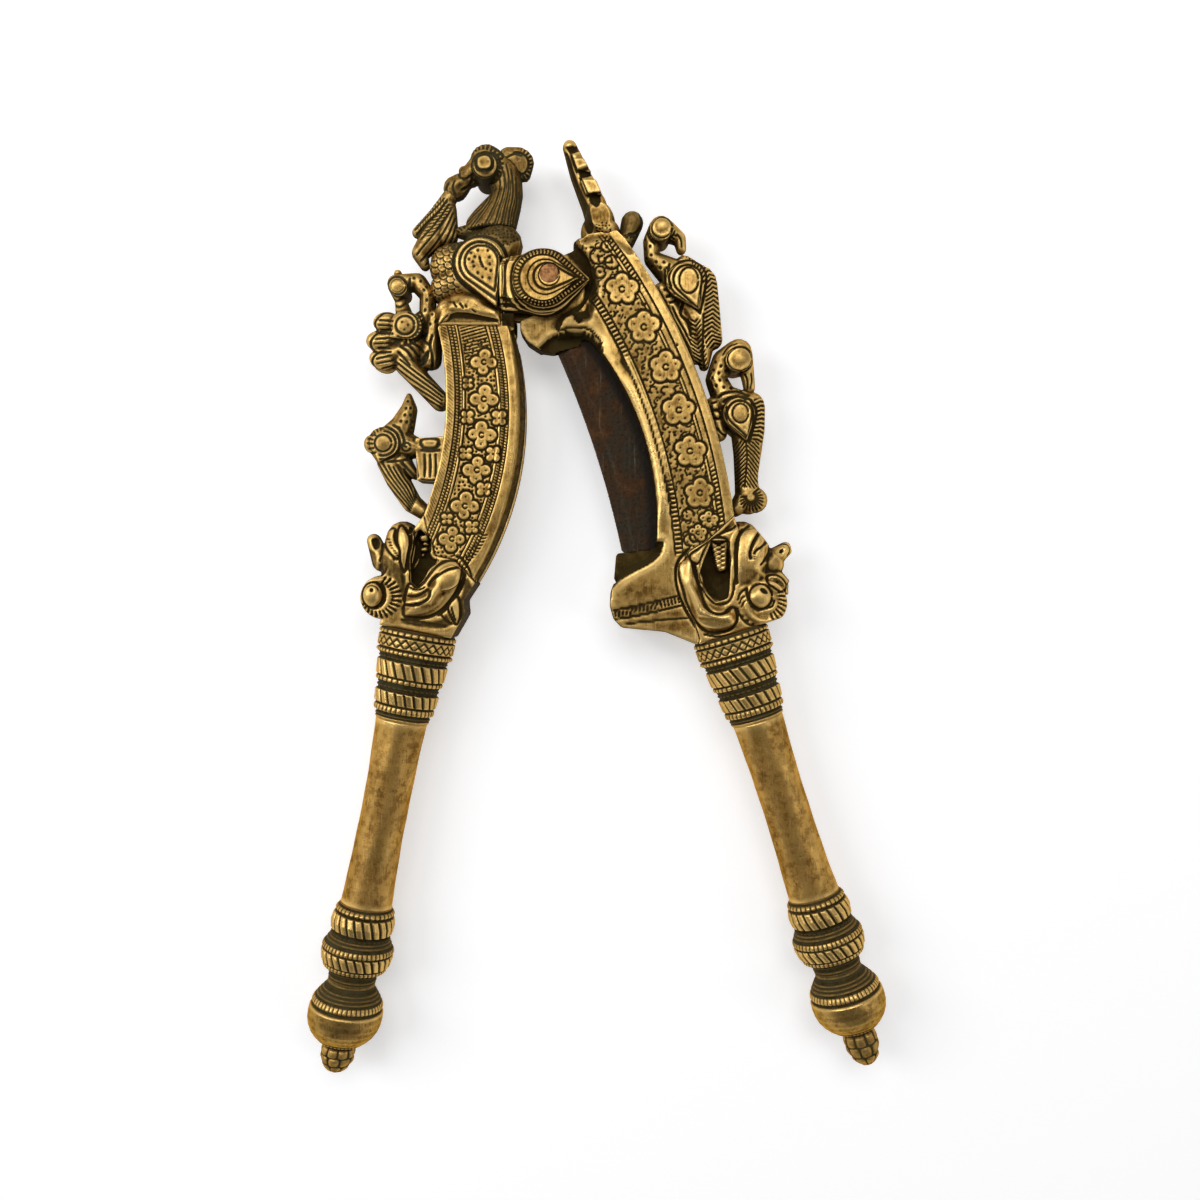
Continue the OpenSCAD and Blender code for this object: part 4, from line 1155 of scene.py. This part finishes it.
def carveBladeBar():
    piece = castPiece("blade_bar", 0.5, 2, [
        addForm("block", fromPhoto(589, 266), (3.0, 6.2, 3.2), math.radians(12)),
        addForm("block", fromPhoto(587, 301), (2.2, 2.2, 3.2)),
        addForm("ball", fromPhoto(582, 249), (2.4, 2.0, 6.6))])
    (rx, ry), rr = bladeArcs["recess"]
    refineFaces(piece, lambda p: (np.hypot(p[:, 0] - rx, p[:, 1] - ry) > rr + 4.0) & (p[:, 1] > -93) & (p[:, 0] > 6))
    c = Chisel(piece, least=5.0)
    c.spared = np.zeros(len(c.co))
    fadeRails(c, bladeBar["rails"], bladeArcs)
    # shoulder towards the hinge
    c.slope("571,240 576,250 582,261 588,271 590,283 588,298 584,312", 11, 4.1)
    c.slope("630,246 614,236 600,233 586,235.5 574,242", 10, 6.0)
    # the casting falls away to the steel at both ends of the blade
    c.flatten("540,347 546,341 556,335 568,331 581,330 592,335 602,348 602,364 548,366", 1.6, 0.9)
    c.flatten("608,543 662,541 661,550 656,557 647,563 634,569 622,577 611,588 604,580", 1.6, 0.62)
    off, along = arcField(c, bladeArcs["outer"])
    out = -off
    border, borderAlong = arcField(c, bladeArcs["border"])
    upper = c.at[:, 1]
    body = smoothstep(232, 240, upper) * smoothstep(560, 548, upper)
    # scattered nicks behind the flowers
    band = (out > 5.3) & (border > 1.1) & (c.face > 0) & (upper > 240) & (upper < 560)
    inside = np.flatnonzero(band)
    d = c.jitter(inside, 6.4, 4.2)
    c.deepen(inside, 0.2 * smoothstep(1.6, 0.4, d), 0.7 * smoothstep(1.7, 0.6, d))
    d = np.abs(c.jitter(inside, 11.0, 8.6) - 3.4)
    half = (np.sin(c.at[inside, 0] * 0.55 + c.at[inside, 1] * 0.31) > 0.1)
    c.deepen(inside, 0.16 * smoothstep(1.2, 0.3, d) * half, 0.7 * smoothstep(1.3, 0.5, d) * half)
    for at, width, depth in bladeBar["outerLines"]:
        bandCut(c, out, at, width, depth, body)
    ends = np.maximum(smoothstep(300, 270, upper), smoothstep(455, 480, upper)) * body
    ladder(c, out, along, 3.0, 4.2, 1.15, 0.26, slant=0.3, where=ends)
    for at, width, depth in bladeBar["borderLines"]:
        bandCut(c, border, at, width, depth, body * smoothstep(286, 294, upper + (c.at[:, 0] - 595)))
    ladderEnds = np.maximum(smoothstep(365, 345, upper), smoothstep(470, 490, upper)) * body
    ladder(c, border, borderAlong, -0.75, 0.75, 1.2, 0.32, where=ladderEnds, share=0.5)
    bandCut(c, border, 0.2, 0.25, 0.12, body * (1 - ladderEnds), dark=0.5)
    for x, y, r in bladeBar["flowers"]:
        flower(c, x, y, r)
    c.dots("645,304 652,352 664,394 675,435 690,474 608,268 633,304 637,350 655,332 677,345 690,383", 1.5, 0.28)
    # scrolls at the head of the band
    for x, y, r in bladeBar["scrolls"]:
        c.groove(ring(x, y, r, 24, 1.0, 20, 330), 2.0, 0.32)
        c.dots([(x, y)], 1.6, 0.25)
    for x, y, r in ((716, 505, 6), (716, 532, 6), (688, 515, 6), (690, 540, 6)):
        c.groove(ring(x, y, r, 22, 1.0, 60, 380), 1.8, 0.28)
    # foot: beaded line and a smooth bevel below it
    c.ticks("612,615 630,611 655,606 684,599", 0, 3.2, 3.6, 0.34)
    c.groove("611,611 640,605 682,595", 1.8, 0.25, dark=0.8)
    c.groove("612,620 640,615 684,605", 2.0, 0.3, dark=0.85)
    c.groove("620,625 650,621 690,618", 1.8, 0.2, dark=0.6)
    # dark rims over the seats
    c.groove("537,343 546,337 557,331 570,327.5 583,327.5 594,333 603,345", 2.6, 0.5)
    c.groove("612,583 624,576 637,569 650,562 659,553 663,541", 3.0, 0.5)
    # browner on the foot, where fingers don't reach
    far = smoothstep(572, 588, upper) * smoothstep(690, 672, c.at[:, 0])
    c.dark = np.maximum(c.dark, 0.34 * far * (c.face > 0))
    # darker over the heel, in the strip along the cheeks' rim and at the foot of the spur
    c.tint("516,312 560,306 598,314 604,336 590,330 568,330 545,342 540,356 520,350", 0.36, 6)
    c.tint("556,246 571,238 580,248 588,262 596,276 597,290 588,296 580,272 566,256", 0.72, 7)
    c.tint("575,238 600,240 604,262 600,282 590,286 582,262", 0.30, 10)
    c.film = np.maximum(c.film, band * np.where(c.spared < 0.5, 0.28, 0.12))
    c.groove("690,548 679,560 676,574 679,592 686,610 697,628", 3.4, 0.5)
    c.done("blade_bar", walls=0.95)


carveAnvilBar()
carveBladeBar()
print("bars carved")


def carveUpperLeftBird():
    forms = bothFaces("ball", 397, 285.5, 3.6, (2.3, 2.3, 1.2)) + bothFaces("ball", 405, 325, 4.0, (3.9, 3.9, 1.6))
    for x, y, turn in ((386, 322, 10), (379, 341, 0), (382, 360, -20)):
        forms += bothFaces("ball", x, y, 2.2, (3.5, 2.7, 2.0), math.radians(turn))
    c = Chisel(castPiece("upper_left_bird", 0.27, 3, forms))
    # head with its round eye
    c.groove(ring(397, 285.5, 9.2, 30), 2.2, 0.4)
    c.groove(ring(397, 285.5, 6.6, 24), 1.4, 0.15, dark=0.4)
    c.groove("388,298 396,301 405,297", 2.2, 0.4)
    c.groove("391,304 399,307 407,303", 2.0, 0.35)
    c.dots("414,278 421,281 427,287 431,295 424,290 433,305 427,300 432,314 425,310 419,316 436,322 430,324", 1.5,
            0.35)
    c.groove("410,277 409,286 406,296", 2.2, 0.4)
    # wing disc with a ticked ruff
    c.groove(ring(405, 325, 9.4, 30), 2.0, 0.35)
    c.groove(ring(405, 325, 13.4, 36, 1.0, -80, 130), 2.0, 0.35)
    c.ticks(ring(405, 325, 16.2, 40, 1.0, -70, 95), 0, 2.8, 4.0, 0.35)
    c.groove(ring(405, 325, 20, 36, 1.0, -60, 100), 2.0, 0.35)
    c.dots("402,322 408,325 404.5,329.5", 1.0, 0.2)
    # tail lobes on the left, cut by fine grooves
    c.groove("397,313 384,313 375,322 378,332 392,333; 394,334 380,332 371,341 374,351 390,352; 392,352 379,352 "
            "372,361 377,370 390,373", 2.2, 0.42)
    c.groove("378,320 394,321; 377,325 393,326; 380,330 392,330; 374,339 391,338; 373,344 391,343; 377,348 391,348; "
            "375,359 393,355; 376,364 395,360; 381,369 398,365", 1.8, 0.3, dark=0.85)
    # breast gashes and legs
    c.groove("399,345 408,352 415,362; 403,342 413,349 420,359; 410,341 419,347 424,354; 397,351 404,358 411,366",
            2.4, 0.45)
    c.sink("424,352 430,350 428,362 421,368 419,360", 0.9, 3)
    c.groove("433,334 430,345 433,358 432,376", 2.6, 0.5)
    c.groove("427,332 424,340 431,346", 2.2, 0.4)
    for shift in (0, 4.2, 8.4, 12.6, 16.8):
        c.groove([(386 + shift * 0.75, 372 - shift * 0.8), (404 + shift * 0.7, 386 - shift * 0.85),
                (424 + shift * 0.5, 398 - shift * 0.85), (444, 410 - shift)], 1.9, 0.4, dark=0.85)
    c.done("upper_left_bird", baseTarnishAndShade=0.16)


def carveLowerLeftBird():
    forms = bothFaces("ball", 383, 443, 4.2, (3.6, 3.6, 1.7)) + bothFaces("ball", 371, 444, 2.4, (1.9, 2.4, 1.6))
    c = Chisel(castPiece("lower_left_bird", 0.25, 3, forms))
    c.dots("408,401 406,408 411,408 405,415 411,415 401,421 407,422 413,422 399,428 412,428 416,434", 1.6, 0.35)
    c.groove("392,424 400,430 404,439 404,448", 2.4, 0.45)
    c.groove(ring(383, 443, 8.6, 30), 2.0, 0.35)
    c.groove(ring(383, 443, 12.6, 36, 1.0, -90, 110), 2.2, 0.4)
    c.groove(ring(383, 443, 16.6, 40, 1.0, -85, 105), 2.2, 0.4)
    c.ticks(ring(383, 443, 15, 40, 1.0, -160, -95), 0, 2.6, 4, 0.3)
    c.groove("367,438 374,440; 366,443 374,444; 368,449 375,448; 371,454 377,452; 371,433 377,436", 1.8, 0.3)
    c.groove(ring(406, 447, 4.4, 18), 1.8, 0.3)
    c.dots("406,447 414,440 415,456 408,457 399,455", 1.3, 0.3)
    c.groove("386,462 396,461 406,462", 2.2, 0.4)
    c.groove("400,462 408,470 416,479", 2.6, 0.5)
    c.puff("402,461 414,459 417,476 410,470", 0.4, 2.5, bend=False, rim=0.4)
    # feathered tail in long slanting cuts
    for i in range(7):
        x, y = 372 + i * 5.2, 459 + i * 1.2
        c.groove([(x, y + 2), (x + 9 - i * 0.6, y + 17 - i), (x + 22 - i * 1.8, y + 34 - i * 2.4),
                (x + 39 - i * 4.2, y + 53 - i * 3.4)], 1.8, 0.38, dark=0.85)
    # pot on a stem
    for y in (444.5, 450, 480):
        c.groove([(420, y), (430, y + 0.8), (441, y)], 2.4, 0.45)
    for x in (424.5, 430, 435.5):
        c.groove([(x, 453), (x + 0.5, 466), (x, 478)], 2.0, 0.4)
    c.puff("423,440 437,440 436,447 424,447", 0.35, 2, rim=0.3)
    c.done("lower_left_bird", baseTarnishAndShade=0.14)


def carveUpperRightParrot():
    forms = (bothFaces("ball", 690, 281, 4.2, (3.8, 5.6, 1.6), math.radians(18))
            + bothFaces("ball", 662, 227, 3.8, (2.9, 2.9, 1.7)))
    c = Chisel(castPiece("upper_right_parrot", 0.27, 3, forms))
    c.groove(ring(662, 227, 10.6, 34), 2.2, 0.4)
    c.groove(ring(662, 227, 13.6, 34, 1.0, 10, 190), 1.8, 0.3)
    c.ticks(ring(662, 227, 15.4, 40, 1.0, 20, 170), 0, 2.2, 3.6, 0.3)
    c.groove("649,218 646,227 649,238 656,244; 676,233 681,240 682,249", 2.2, 0.4)
    c.groove("671,240 676,247 677,254", 1.8, 0.3)
    c.dots("644,240 650,246 644,249 651,255 646,259 656,262 652,267 660,268 640,233 664,262 667,268", 1.7, 0.35)
    # wing: rounded plate inside concentric lines
    for r, width in ((14.5, 2.4), (19.0, 2.4)):
        c.groove(teardrop(688, 279, r, 698 + (r - 14) * 0.5, 308 + (r - 14)), width, 0.45, loop=True)
    c.groove(ring(689, 280, 9.6, 32, 1.35), 1.8, 0.3)
    c.groove("670,262 668,274 672,288; 665,268 665,280 669,292", 2.2, 0.4)
    # leg with its cuffs
    c.groove("663,290 673,287; 665,297 676,294; 668,303 678,300", 2.4, 0.45)
    c.groove("684,300 681,313 688,322 692,336", 3.0, 0.6)
    c.groove("672,306 677,318 684,330 692,346", 2.2, 0.4)
    # plume and tail, a herringbone about the spine
    spine = pixels("694,256 703,272 706,292 704,312 703,332 702,352 704,372")
    c.groove(spine[3:], 2.4, 0.5, bend=True)
    c.ticks("691,250 702,261 710,275 714,292 713,312 712,332 716,348", 0, 8.5, 4.4, 0.5, slant=-0.7, share=0.5,
            fade=3)
    c.ticks("694,318 696,334 699,352 703,370", 0, 6.5, 4.4, 0.42, slant=0.9, share=0.45, fade=3)
    c.done("upper_right_parrot", baseTarnishAndShade=0.06)


def carveLowerRightParrot():
    forms = (bothFaces("ball", 741, 413, 4.4, (3.9, 5.0, 1.6), math.radians(14))
            + bothFaces("ball", 740, 359, 3.9, (3.4, 3.4, 1.8)))
    c = Chisel(castPiece("lower_right_parrot", 0.27, 3, forms))
    c.groove(ring(740, 359, 12.6, 36), 2.4, 0.42)
    c.groove("718,352 724,342 736,337 748,341", 2.0, 0.35)
    c.groove("722,356 728,347 738,343", 1.6, 0.25)
    c.groove("744,373 747,381 747,390", 2.2, 0.4)
    c.groove("751,372 752,381 750,390", 1.8, 0.3)
    c.dots("715,362 721,366 713,370 719,373 726,371 712,378 720,380 716,386 724,387 731,388 738,386 712,392 741,391 "
            "727,380", 1.7, 0.35)
    c.groove("717,398 725,393 737,391 750,396; 722,403 729,398 739,396 748,400", 2.6, 0.5)
    for r in (12.5, 17.0):
        c.groove(teardrop(740, 413, r, 748 + (r - 12) * 0.4, 437 + (r - 12)), 2.4, 0.42, loop=True)
    c.groove(ring(740.5, 413, 8, 30, 1.2), 1.6, 0.28)
    # cuffs and feet
    c.groove("709,404 718,401; 711,411 721,409; 713,418 723,418", 2.4, 0.5)
    c.puff("712,412 719,412 721,417 713,418", 0.3, 2, rim=0.3)
    c.groove("716,428 722,434 731,437", 2.4, 0.45)
    c.groove("727,405 726,418 730,430", 2.4, 0.5)
    # plume on the outside and the long tail
    c.groove("751,398 754,412 753,428 748,440", 2.6, 0.5)
    c.ticks("760,397 762,412 761,428 757,442", 0, 6.5, 4.3, 0.5, slant=-0.3, share=0.5, fade=3)
    spine = "746,440 747,456 746,472 744,488"
    c.groove(spine, 2.0, 0.4)
    c.ticks(spine, 0.8, 13, 4.4, 0.5, slant=-1.1, share=0.48, fade=3)
    # curled tuft
    for a in range(-60, 200, 18):
        t = math.radians(a)
        c.groove([(751 + 3 * math.cos(t), 497 + 3 * math.sin(t)), (752 + 13 * math.cos(t), 500 + 13 * math.sin(t))],
                1.9, 0.4)
    c.done("lower_right_parrot", baseTarnishAndShade=0.06)


carveUpperLeftBird()
carveLowerLeftBird()
carveUpperRightParrot()
carveLowerRightParrot()
print("birds carved")


def carveLeftMakara():
    forms = (bothFaces("ball", 372, 595, 6.9, (2.6, 3.4, 1.8))
            + bothFaces("ball", 449, 578, 7.9, (4.0, 3.0, 1.2), math.radians(40)))
    forms += (bothFaces("ball", 404, 548, 6.7, (1.9, 5.2, 1.3), math.radians(4))
            + bothFaces("ball", 425, 605, 7.0, (5.5, 2.2, 1.2), math.radians(25)))
    c = Chisel(castPiece("left_makara", 0.3, 9, forms))
    # open mouth, in shade
    c.sink("419,532 428,546 433,557 440,560 437,564 430,570 425,579 418,586 411,583 412,571 417,561 419,548", 0.9,
            3.0, dark=0.62)
    # brow and jaw bands
    c.puff("399,529 403,526 409,536 410,545 407.5,556 405,570 403.5,569 401,562 400,552 397.5,540", 0.55, 4)
    c.puff("411.5,529 415,537.5 416.5,547.5 415,559 411,570 409.5,566 411.5,552.5 412.5,542", 0.5, 2.6)
    c.puff("385,532.5 392.5,528.5 395.5,531 394,540 399,551 397.5,558 393.5,556 387.5,549 384,540", 0.4, 3.5, rim=0.6)
    c.groove("396.5,528 394,535 395.5,541.5 399,549", 3.0, 0.6)
    c.groove("404.5,526 409.5,532.5 411,542.5 410,552.5 407.5,564", 2.8, 0.6)
    c.groove("415.5,531 419.5,537.5 420,546 418,557 414,565 410.5,574 410.5,583", 2.4, 0.45)
    for x, y in ((386, 539), (387, 542), (388.2, 545), (389.6, 547.8), (391.2, 550.4), (393, 552.8), (395, 555)):
        c.groove([(x, y), (x + 5.5, y + 0.6)], 1.2, 0.22, dark=0.75)
    c.groove("392,556 395,562", 1.8, 0.25, dark=0.6)
    # teeth
    for outline in ("420,536 426,534.5 429,537 428.5,542 421,542", "423,543 428,542.5 429.5,546 423,546",
            "421,548 427,547 429,551 422,552.5", "421.5,554 425,553 425,556.5 422,557"):
        c.puff(outline, 1.3, 2.0, rim=0.6)
    # leaf-shaped lower lip
    lip = ("409,585 417,588 424,583 430,575 437,567 446,562 456,561 461.5,565 462,573 459,585 452,597 443,607.5 "
            "435,613.5 425,617 411,617 404,612.5")
    c.puff(lip, 0.7, 6, rim=1.0)
    c.groove("408,586.3 415,589.6 421.5,589 426.5,586.5", 1.8, 0.4)
    c.groove("428,587 432.5,580 440,573.8 450,568.8 460,566.8", 2.8, 0.6)
    c.groove("407,595.5 417.5,595.5 425,591.5 429.5,588", 2.4, 0.5)
    c.groove("430,589 429,597 422.5,603 413.8,605.3 403,605", 3.6, 0.6)
    c.groove("464,564 465,574 461.5,587 454,599.5 445,610 437,616", 2.8, 0.45)
    # bulging eye in a ribbed ruff
    c.boss(372.5, 595, 10.2, 0.2, rings=((11.0, 2.2, 0.45),), squash=1.2)
    c.dots("371.5,590", 2.3, 0.4)
    c.groove("366,588 371,585 377,587.5 379,592", 1.4, 0.2, dark=0.55)
    c.groove("380,583 384,590 384,600 379,607", 3.4, 0.6)
    for a in range(-72, 165, 14):
        t = math.radians(a)
        c.groove([(377 + 13.5 * math.cos(t), 597 + 13 * math.sin(t)),
                (379 + 23.5 * math.cos(t), 597 + 22.5 * math.sin(t))], 2.4, 0.5)
    # horn with a hollow end
    c.sink("371,538 378,537 382,541 380,548 375,550 371,545", 0.9, 2.5, dark=0.8)
    c.groove("383,543 382,552 379,563", 2.0, 0.3, dark=0.7)
    # dull skin between the eye, the jaw and the lip
    for outline, dark in (("383,553 395,560 406,572 408,586 403,604 394,582 384,576 378,566", 0.42),
            ("404,619 424,621 440,618 447,612 453,625 440,630 418,628 400,624", 0.5),
            ("463,580 470,578 476,600 466,618 458,622 457,604 461,592", 0.5),
            ("368,548 377,552 378,566 372,570 366,560", 0.4)):
        c.sink(outline, 0.12, 4, dark=dark)
    # small leaves over the handle
    c.puff("449,606 457,597 460,611 457,624 451,615", 0.45, 3, rim=0.8)
    c.groove("451,606 453,613 456,622", 2.2, 0.4)
    c.groove("440,614 446,620 453,625", 2.0, 0.35)
    c.groove("400,619.5 416,621 432,624 447,627", 2.0, 0.3, dark=0.7)
    c.done("left_makara", baseTarnishAndShade=0.08, wearGain=11, dirtGain=6, walls=0.75)


def carveRightMakara():
    forms = (bothFaces("ball", 760.5, 596.5, 7.0, (3.0, 3.1, 1.6))
            + bothFaces("ball", 687, 584, 7.4, (2.6, 6.4, 1.2), math.radians(10))
            + bothFaces("ball", 716, 621, 7.4, (5.4, 2.3, 1.1), math.radians(-6)))
    forms += bothFaces("ball", 748, 557, 6.3, (4.3, 7.7, 1.7), math.radians(-12))
    forms += (bothFaces("ball", 767, 604, 6.1, (4.8, 4.8, 1.2))
            + [addForm("ball", fromPhoto(768, 565), (4.4, 4.0, 5.6), math.radians(35))])
    c = Chisel(castPiece("right_makara", 0.3, 10, forms))
    c.grab(793, 588, 9, -5, -1.5)
    c.grab(794, 547, 7, -1.0, 1.0)
    # open mouth, in shade, with a cross-hatched tongue
    c.sink("707,546 710,541 727,541 729,560 729,588 725,597 717.5,599 710,595 704,586 700,572 699,562 703,553", 0.9,
            3.0, dark=0.66)
    c.puff("711,540 726,540 727,553 726,570 720,572 715.5,569 713,556", 1.6, 2.5, rim=0.6)
    for i in range(6):
        c.groove([(712, 543 + i * 4.6), (726, 549 + i * 4.6)], 1.2, 0.25, dark=0.75)
        c.groove([(726, 541 + i * 4.6), (712, 549 + i * 4.6)], 1.2, 0.25, dark=0.75)
    c.groove("710,541 718,544 727,541", 2.2, 0.4)
    # lower lip: a broad band, then two thin ones round the mouth
    lip = ("689,556 679.5,563.5 679,575 683.5,590 687.5,605 693.5,618 703.5,629 716,632.5 730,629 736.5,620 735,610 "
            "731,608.5 722,614.5 712,613 704.5,606 701.5,596 698.5,585.5 695,576 692.5,567")
    c.puff(lip, 0.75, 6, rim=0.9)
    c.sink("711,538 722,529 731,517 738,516 738,526 731,530 722,536", 0.5, 3.0, dark=0.22, bend=False)
    c.groove("694,553 703,545 712,538.5 722,533 731,529.5 739,524", 2.2, 0.45)
    c.puff("690,556 699,549 707.5,542.5 703,551 698.5,562 694,562", 0.5, 2.4, rim=0.6)
    c.groove("689,557.5 694.5,565 697.5,575 701.5,583.5", 2.2, 0.45)
    c.groove("702.8,598 705,604 711.3,610.8 718.8,613.6 726.3,611.6 732.5,606.5", 2.8, 0.6)
    c.groove("701.5,586 707.5,596.5 713.8,602.6 721.3,604.5 728.8,601.3 733.3,592.5 735,575 734.4,556.3 736.5,540 "
            "743,527", 1.9, 0.4)
    c.ridge("700.6,583 705.6,591.3 711.3,598 718,601 725,600 729.4,594 730.6,582.5 730,565 730,550 733,536.5 "
            "738.5,528", 3.2, 0.4)
    c.groove("728,541 727.5,560 728,580", 1.6, 0.3, dark=0.8)
    # brow bands
    c.groove("749.5,524.5 741.8,531.3 738,540 736.8,552.5 736.3,568 737,585", 2.8, 0.6)
    c.groove("761,530 756.3,537.5 752.8,544 750.5,552 751,560", 3.6, 0.75)
    c.groove("768,539 762.5,546.3 756.8,550 753,555", 2.4, 0.5)
    c.puff("764,531.5 768,537 763,544 757,548.5 754.5,546 758.5,538.5", 0.3, 2.6, rim=0)
    for x, y in ((758, 551.5), (757, 554), (756, 556.5), (755.5, 559)):
        c.groove([(x - 4.5, y + 0.8), (x + 1, y - 0.6)], 1.1, 0.2, dark=0.7)
    # horn with a pitted end
    c.sink("779,549 783,547.5 784.5,551 782,554.5 778.5,553", 0.8, 1.8, bend=False)
    c.groove("776,546 782,543.5 788,545 790,551 787,557", 1.6, 0.25, dark=0.6)
    c.groove("770,544 769,552 765,560 760,566", 2.2, 0.35, dark=0.7)
    for outline in ("765,562 776,556 782,562 780,572 770,577 760,572", "762,560 770,550 776,556 770,566"):
        c.sink(outline, 0.15, 4, dark=0.4)
    # eye and its ribbed curl
    c.boss(760.5, 596.5, 11.0, 0.2, rings=((11.9, 2.0, 0.45),), squash=1.08)
    c.sink("760,588 764,587.5 768,591 768,594 764,594 760.5,591.5", 0.5, 1.6, dark=1.0)
    c.groove("746.5,587 747.5,597 752.5,606 759,610", 3.2, 0.6)
    c.groove("737.5,601 740.5,593 747,588", 2.0, 0.4)
    c.groove("739,605 742,598 747,595; 741,608 744,602 748,600", 1.3, 0.25, dark=0.7)
    c.groove("757,611 764,609 772,606.5 775,599", 1.8, 0.35, dark=0.75)
    for a in range(-28, 75, 13):
        t = math.radians(a)
        c.groove([(764 + 14.0 * math.cos(t), 600 + 14.0 * math.sin(t)),
                (764 + 24.5 * math.cos(t), 602 + 24.5 * math.sin(t))], 1.9, 0.5)
    c.dots("742,617 747,621.5 753,625 759,627 765,627 770,625", 2.0, 0.6)
    c.puff("768,577 776,575.5 783,580 786,587 781,591 774,587 769,583", 0.4, 3.0, rim=0.6)
    c.groove("737,607 741,617 748,624 757,628", 2.2, 0.35, dark=0.8)
    c.groove("703,634 720,637 740,633 762,627", 2.0, 0.35)
    c.sink("738,574 748,566 760,570 766,578 757,585 744,588 737,590", 0.1, 5, dark=0.3)
    c.done("right_makara", baseTarnishAndShade=0.02, wearGain=13, dirtGain=6, walls=0.7)


carveLeftMakara()
carveRightMakara()
print("makara heads carved")


def carveBlade():
    c = Chisel(castPiece("cutting_blade", 0.25, 2))
    rng = np.random.default_rng(41)
    # rust pits and hammer marks all over
    here = np.flatnonzero(c.face > 0.2)
    for pitch, r, depth, seed in ((7.0, 2.2, 0.10, 3.0), (4.2, 1.1, 0.08, 7.0), (15.0, 5.0, 0.09, 5.0)):
        gap = c.jitter(here, pitch, seed)
        c.cut[here] = np.maximum(c.cut[here], depth * smoothstep(r, r * 0.2, gap))
    # long grinding scratches that run down the blade
    for _ in range(46):
        x, y = rng.uniform(520, 655), rng.uniform(300, 540)
        lean, length = rng.uniform(0.1, 0.5), rng.uniform(8, 34)
        c.groove([(x, y), (x + lean * length, y + length)], 1.1, 0.06, dark=0.35)
    # painted shade on the steel along the bar's edge, where the casting stands over it
    off, along = arcField(c, bladeArcs["recess"])
    c.dark = np.maximum(c.dark, smoothstep(-3.2, -1.2, off) * (c.face > 0))
    c.done("cutting_blade", wearGain=5, dirtGain=5, walls=0.2)


carveBlade()
print("blade finished")


def makeFloor():
    material, w, shader = newMaterial("paleFloor")
    path = material.node_tree.nodes.new("ShaderNodeLightPath")
    seen = sum(Wire(w.tree, path.outputs[ray]) for ray in studio["raysSeeingWhite"]).clamped()
    # the far floor glows more, so that it runs into the white wall without an edge
    fromMiddle = w.make("ShaderNodeVectorMath", {0: w.make("ShaderNodeTexCoord", out="Object")}, out="Value",
            operation="LENGTH")
    near, far = studio["floorGlow"]
    glow = near + fromMiddle.between(*studio["glowGrows"]) * (far - near)
    shader.inputs["Base Color"].default_value = (0.80, 0.80, 0.81, 1)
    shader.inputs["Roughness"].default_value = 0.9
    shader.inputs["Emission Color"].default_value = (1, 1, 1, 1)
    plug(w, shader, Emission_Strength=seen * glow)
    bpy.ops.mesh.primitive_plane_add(size=studio["floorSize"],
            location=(shot["overPoint"][0] * mm, shot["overPoint"][1] * mm, 0))
    floor = bpy.context.object
    floor.name = "floor"
    floor.data.materials.append(material)


def makeWorld():
    # a white wall all round below a darker ceiling: the camera, metal and glass see it at full strength
    world = bpy.data.worlds.new("studio")
    bpy.context.scene.world = world
    world.use_nodes = True
    w = Wire(world.node_tree)
    background = world.node_tree.nodes["Background"]
    path = world.node_tree.nodes.new("ShaderNodeLightPath")
    seen = sum(Wire(world.node_tree, path.outputs[ray]) for ray in studio["raysSeeingWhite"]).clamped()
    strength = studio["worldStrength"] + seen * (1.0 - studio["worldStrength"])
    world.node_tree.links.new(strength.socket, background.inputs["Strength"])
    toSky = w.make("ShaderNodeTexCoord", out="Generated")
    height = w.make("ShaderNodeSeparateXYZ", {0: toSky}, out="Z").between(*studio["wallToCeiling"])
    colour = w.blendColours(height, (1.0, 1.0, 1.0), (studio["ceiling"],) * 3)
    world.node_tree.links.new(colour.socket, background.inputs["Color"])


def softBox(name, place, size, power, aim=(0.0, -0.085, 0.01)):
    data = bpy.data.lights.new(name, "AREA")
    data.shape, data.size, data.size_y, data.energy = "RECTANGLE", size[0], size[1], power
    lamp = bpy.data.objects.new(name, data)
    bpy.context.scene.collection.objects.link(lamp)
    lamp.location = place
    direction = np.array(aim) - np.array(place)
    lamp.rotation_mode = "QUATERNION"
    lamp.rotation_quaternion = Vector(direction).to_track_quat("-Z", "Y")


studio = {
    "floorSize": 6.0, "floorGlow": (0.46, 1.0), "glowGrows": (0.35, 1.5),
    "worldStrength": 0.24, "ceiling": 0.2, "wallToCeiling": (0.1, 0.6),
    "raysSeeingWhite": ("Is Camera Ray", "Is Glossy Ray", "Is Transmission Ray"),
    "boxes": [
        ("leftBox", (-0.75, 0.15, 0.75), (0.5, 0.7), 5.2),
        ("topBox", (0.05, 0.45, 1.05), (0.9, 0.6), 5.9),
        ("rightBox", (0.85, -0.25, 0.7), (0.35, 0.6), 1.3),
    ],
}
makeFloor()
makeWorld()
for box in studio["boxes"]:
    softBox(*box)
print("floor and lights made")

bpy.context.scene.view_settings.view_transform = "Standard"
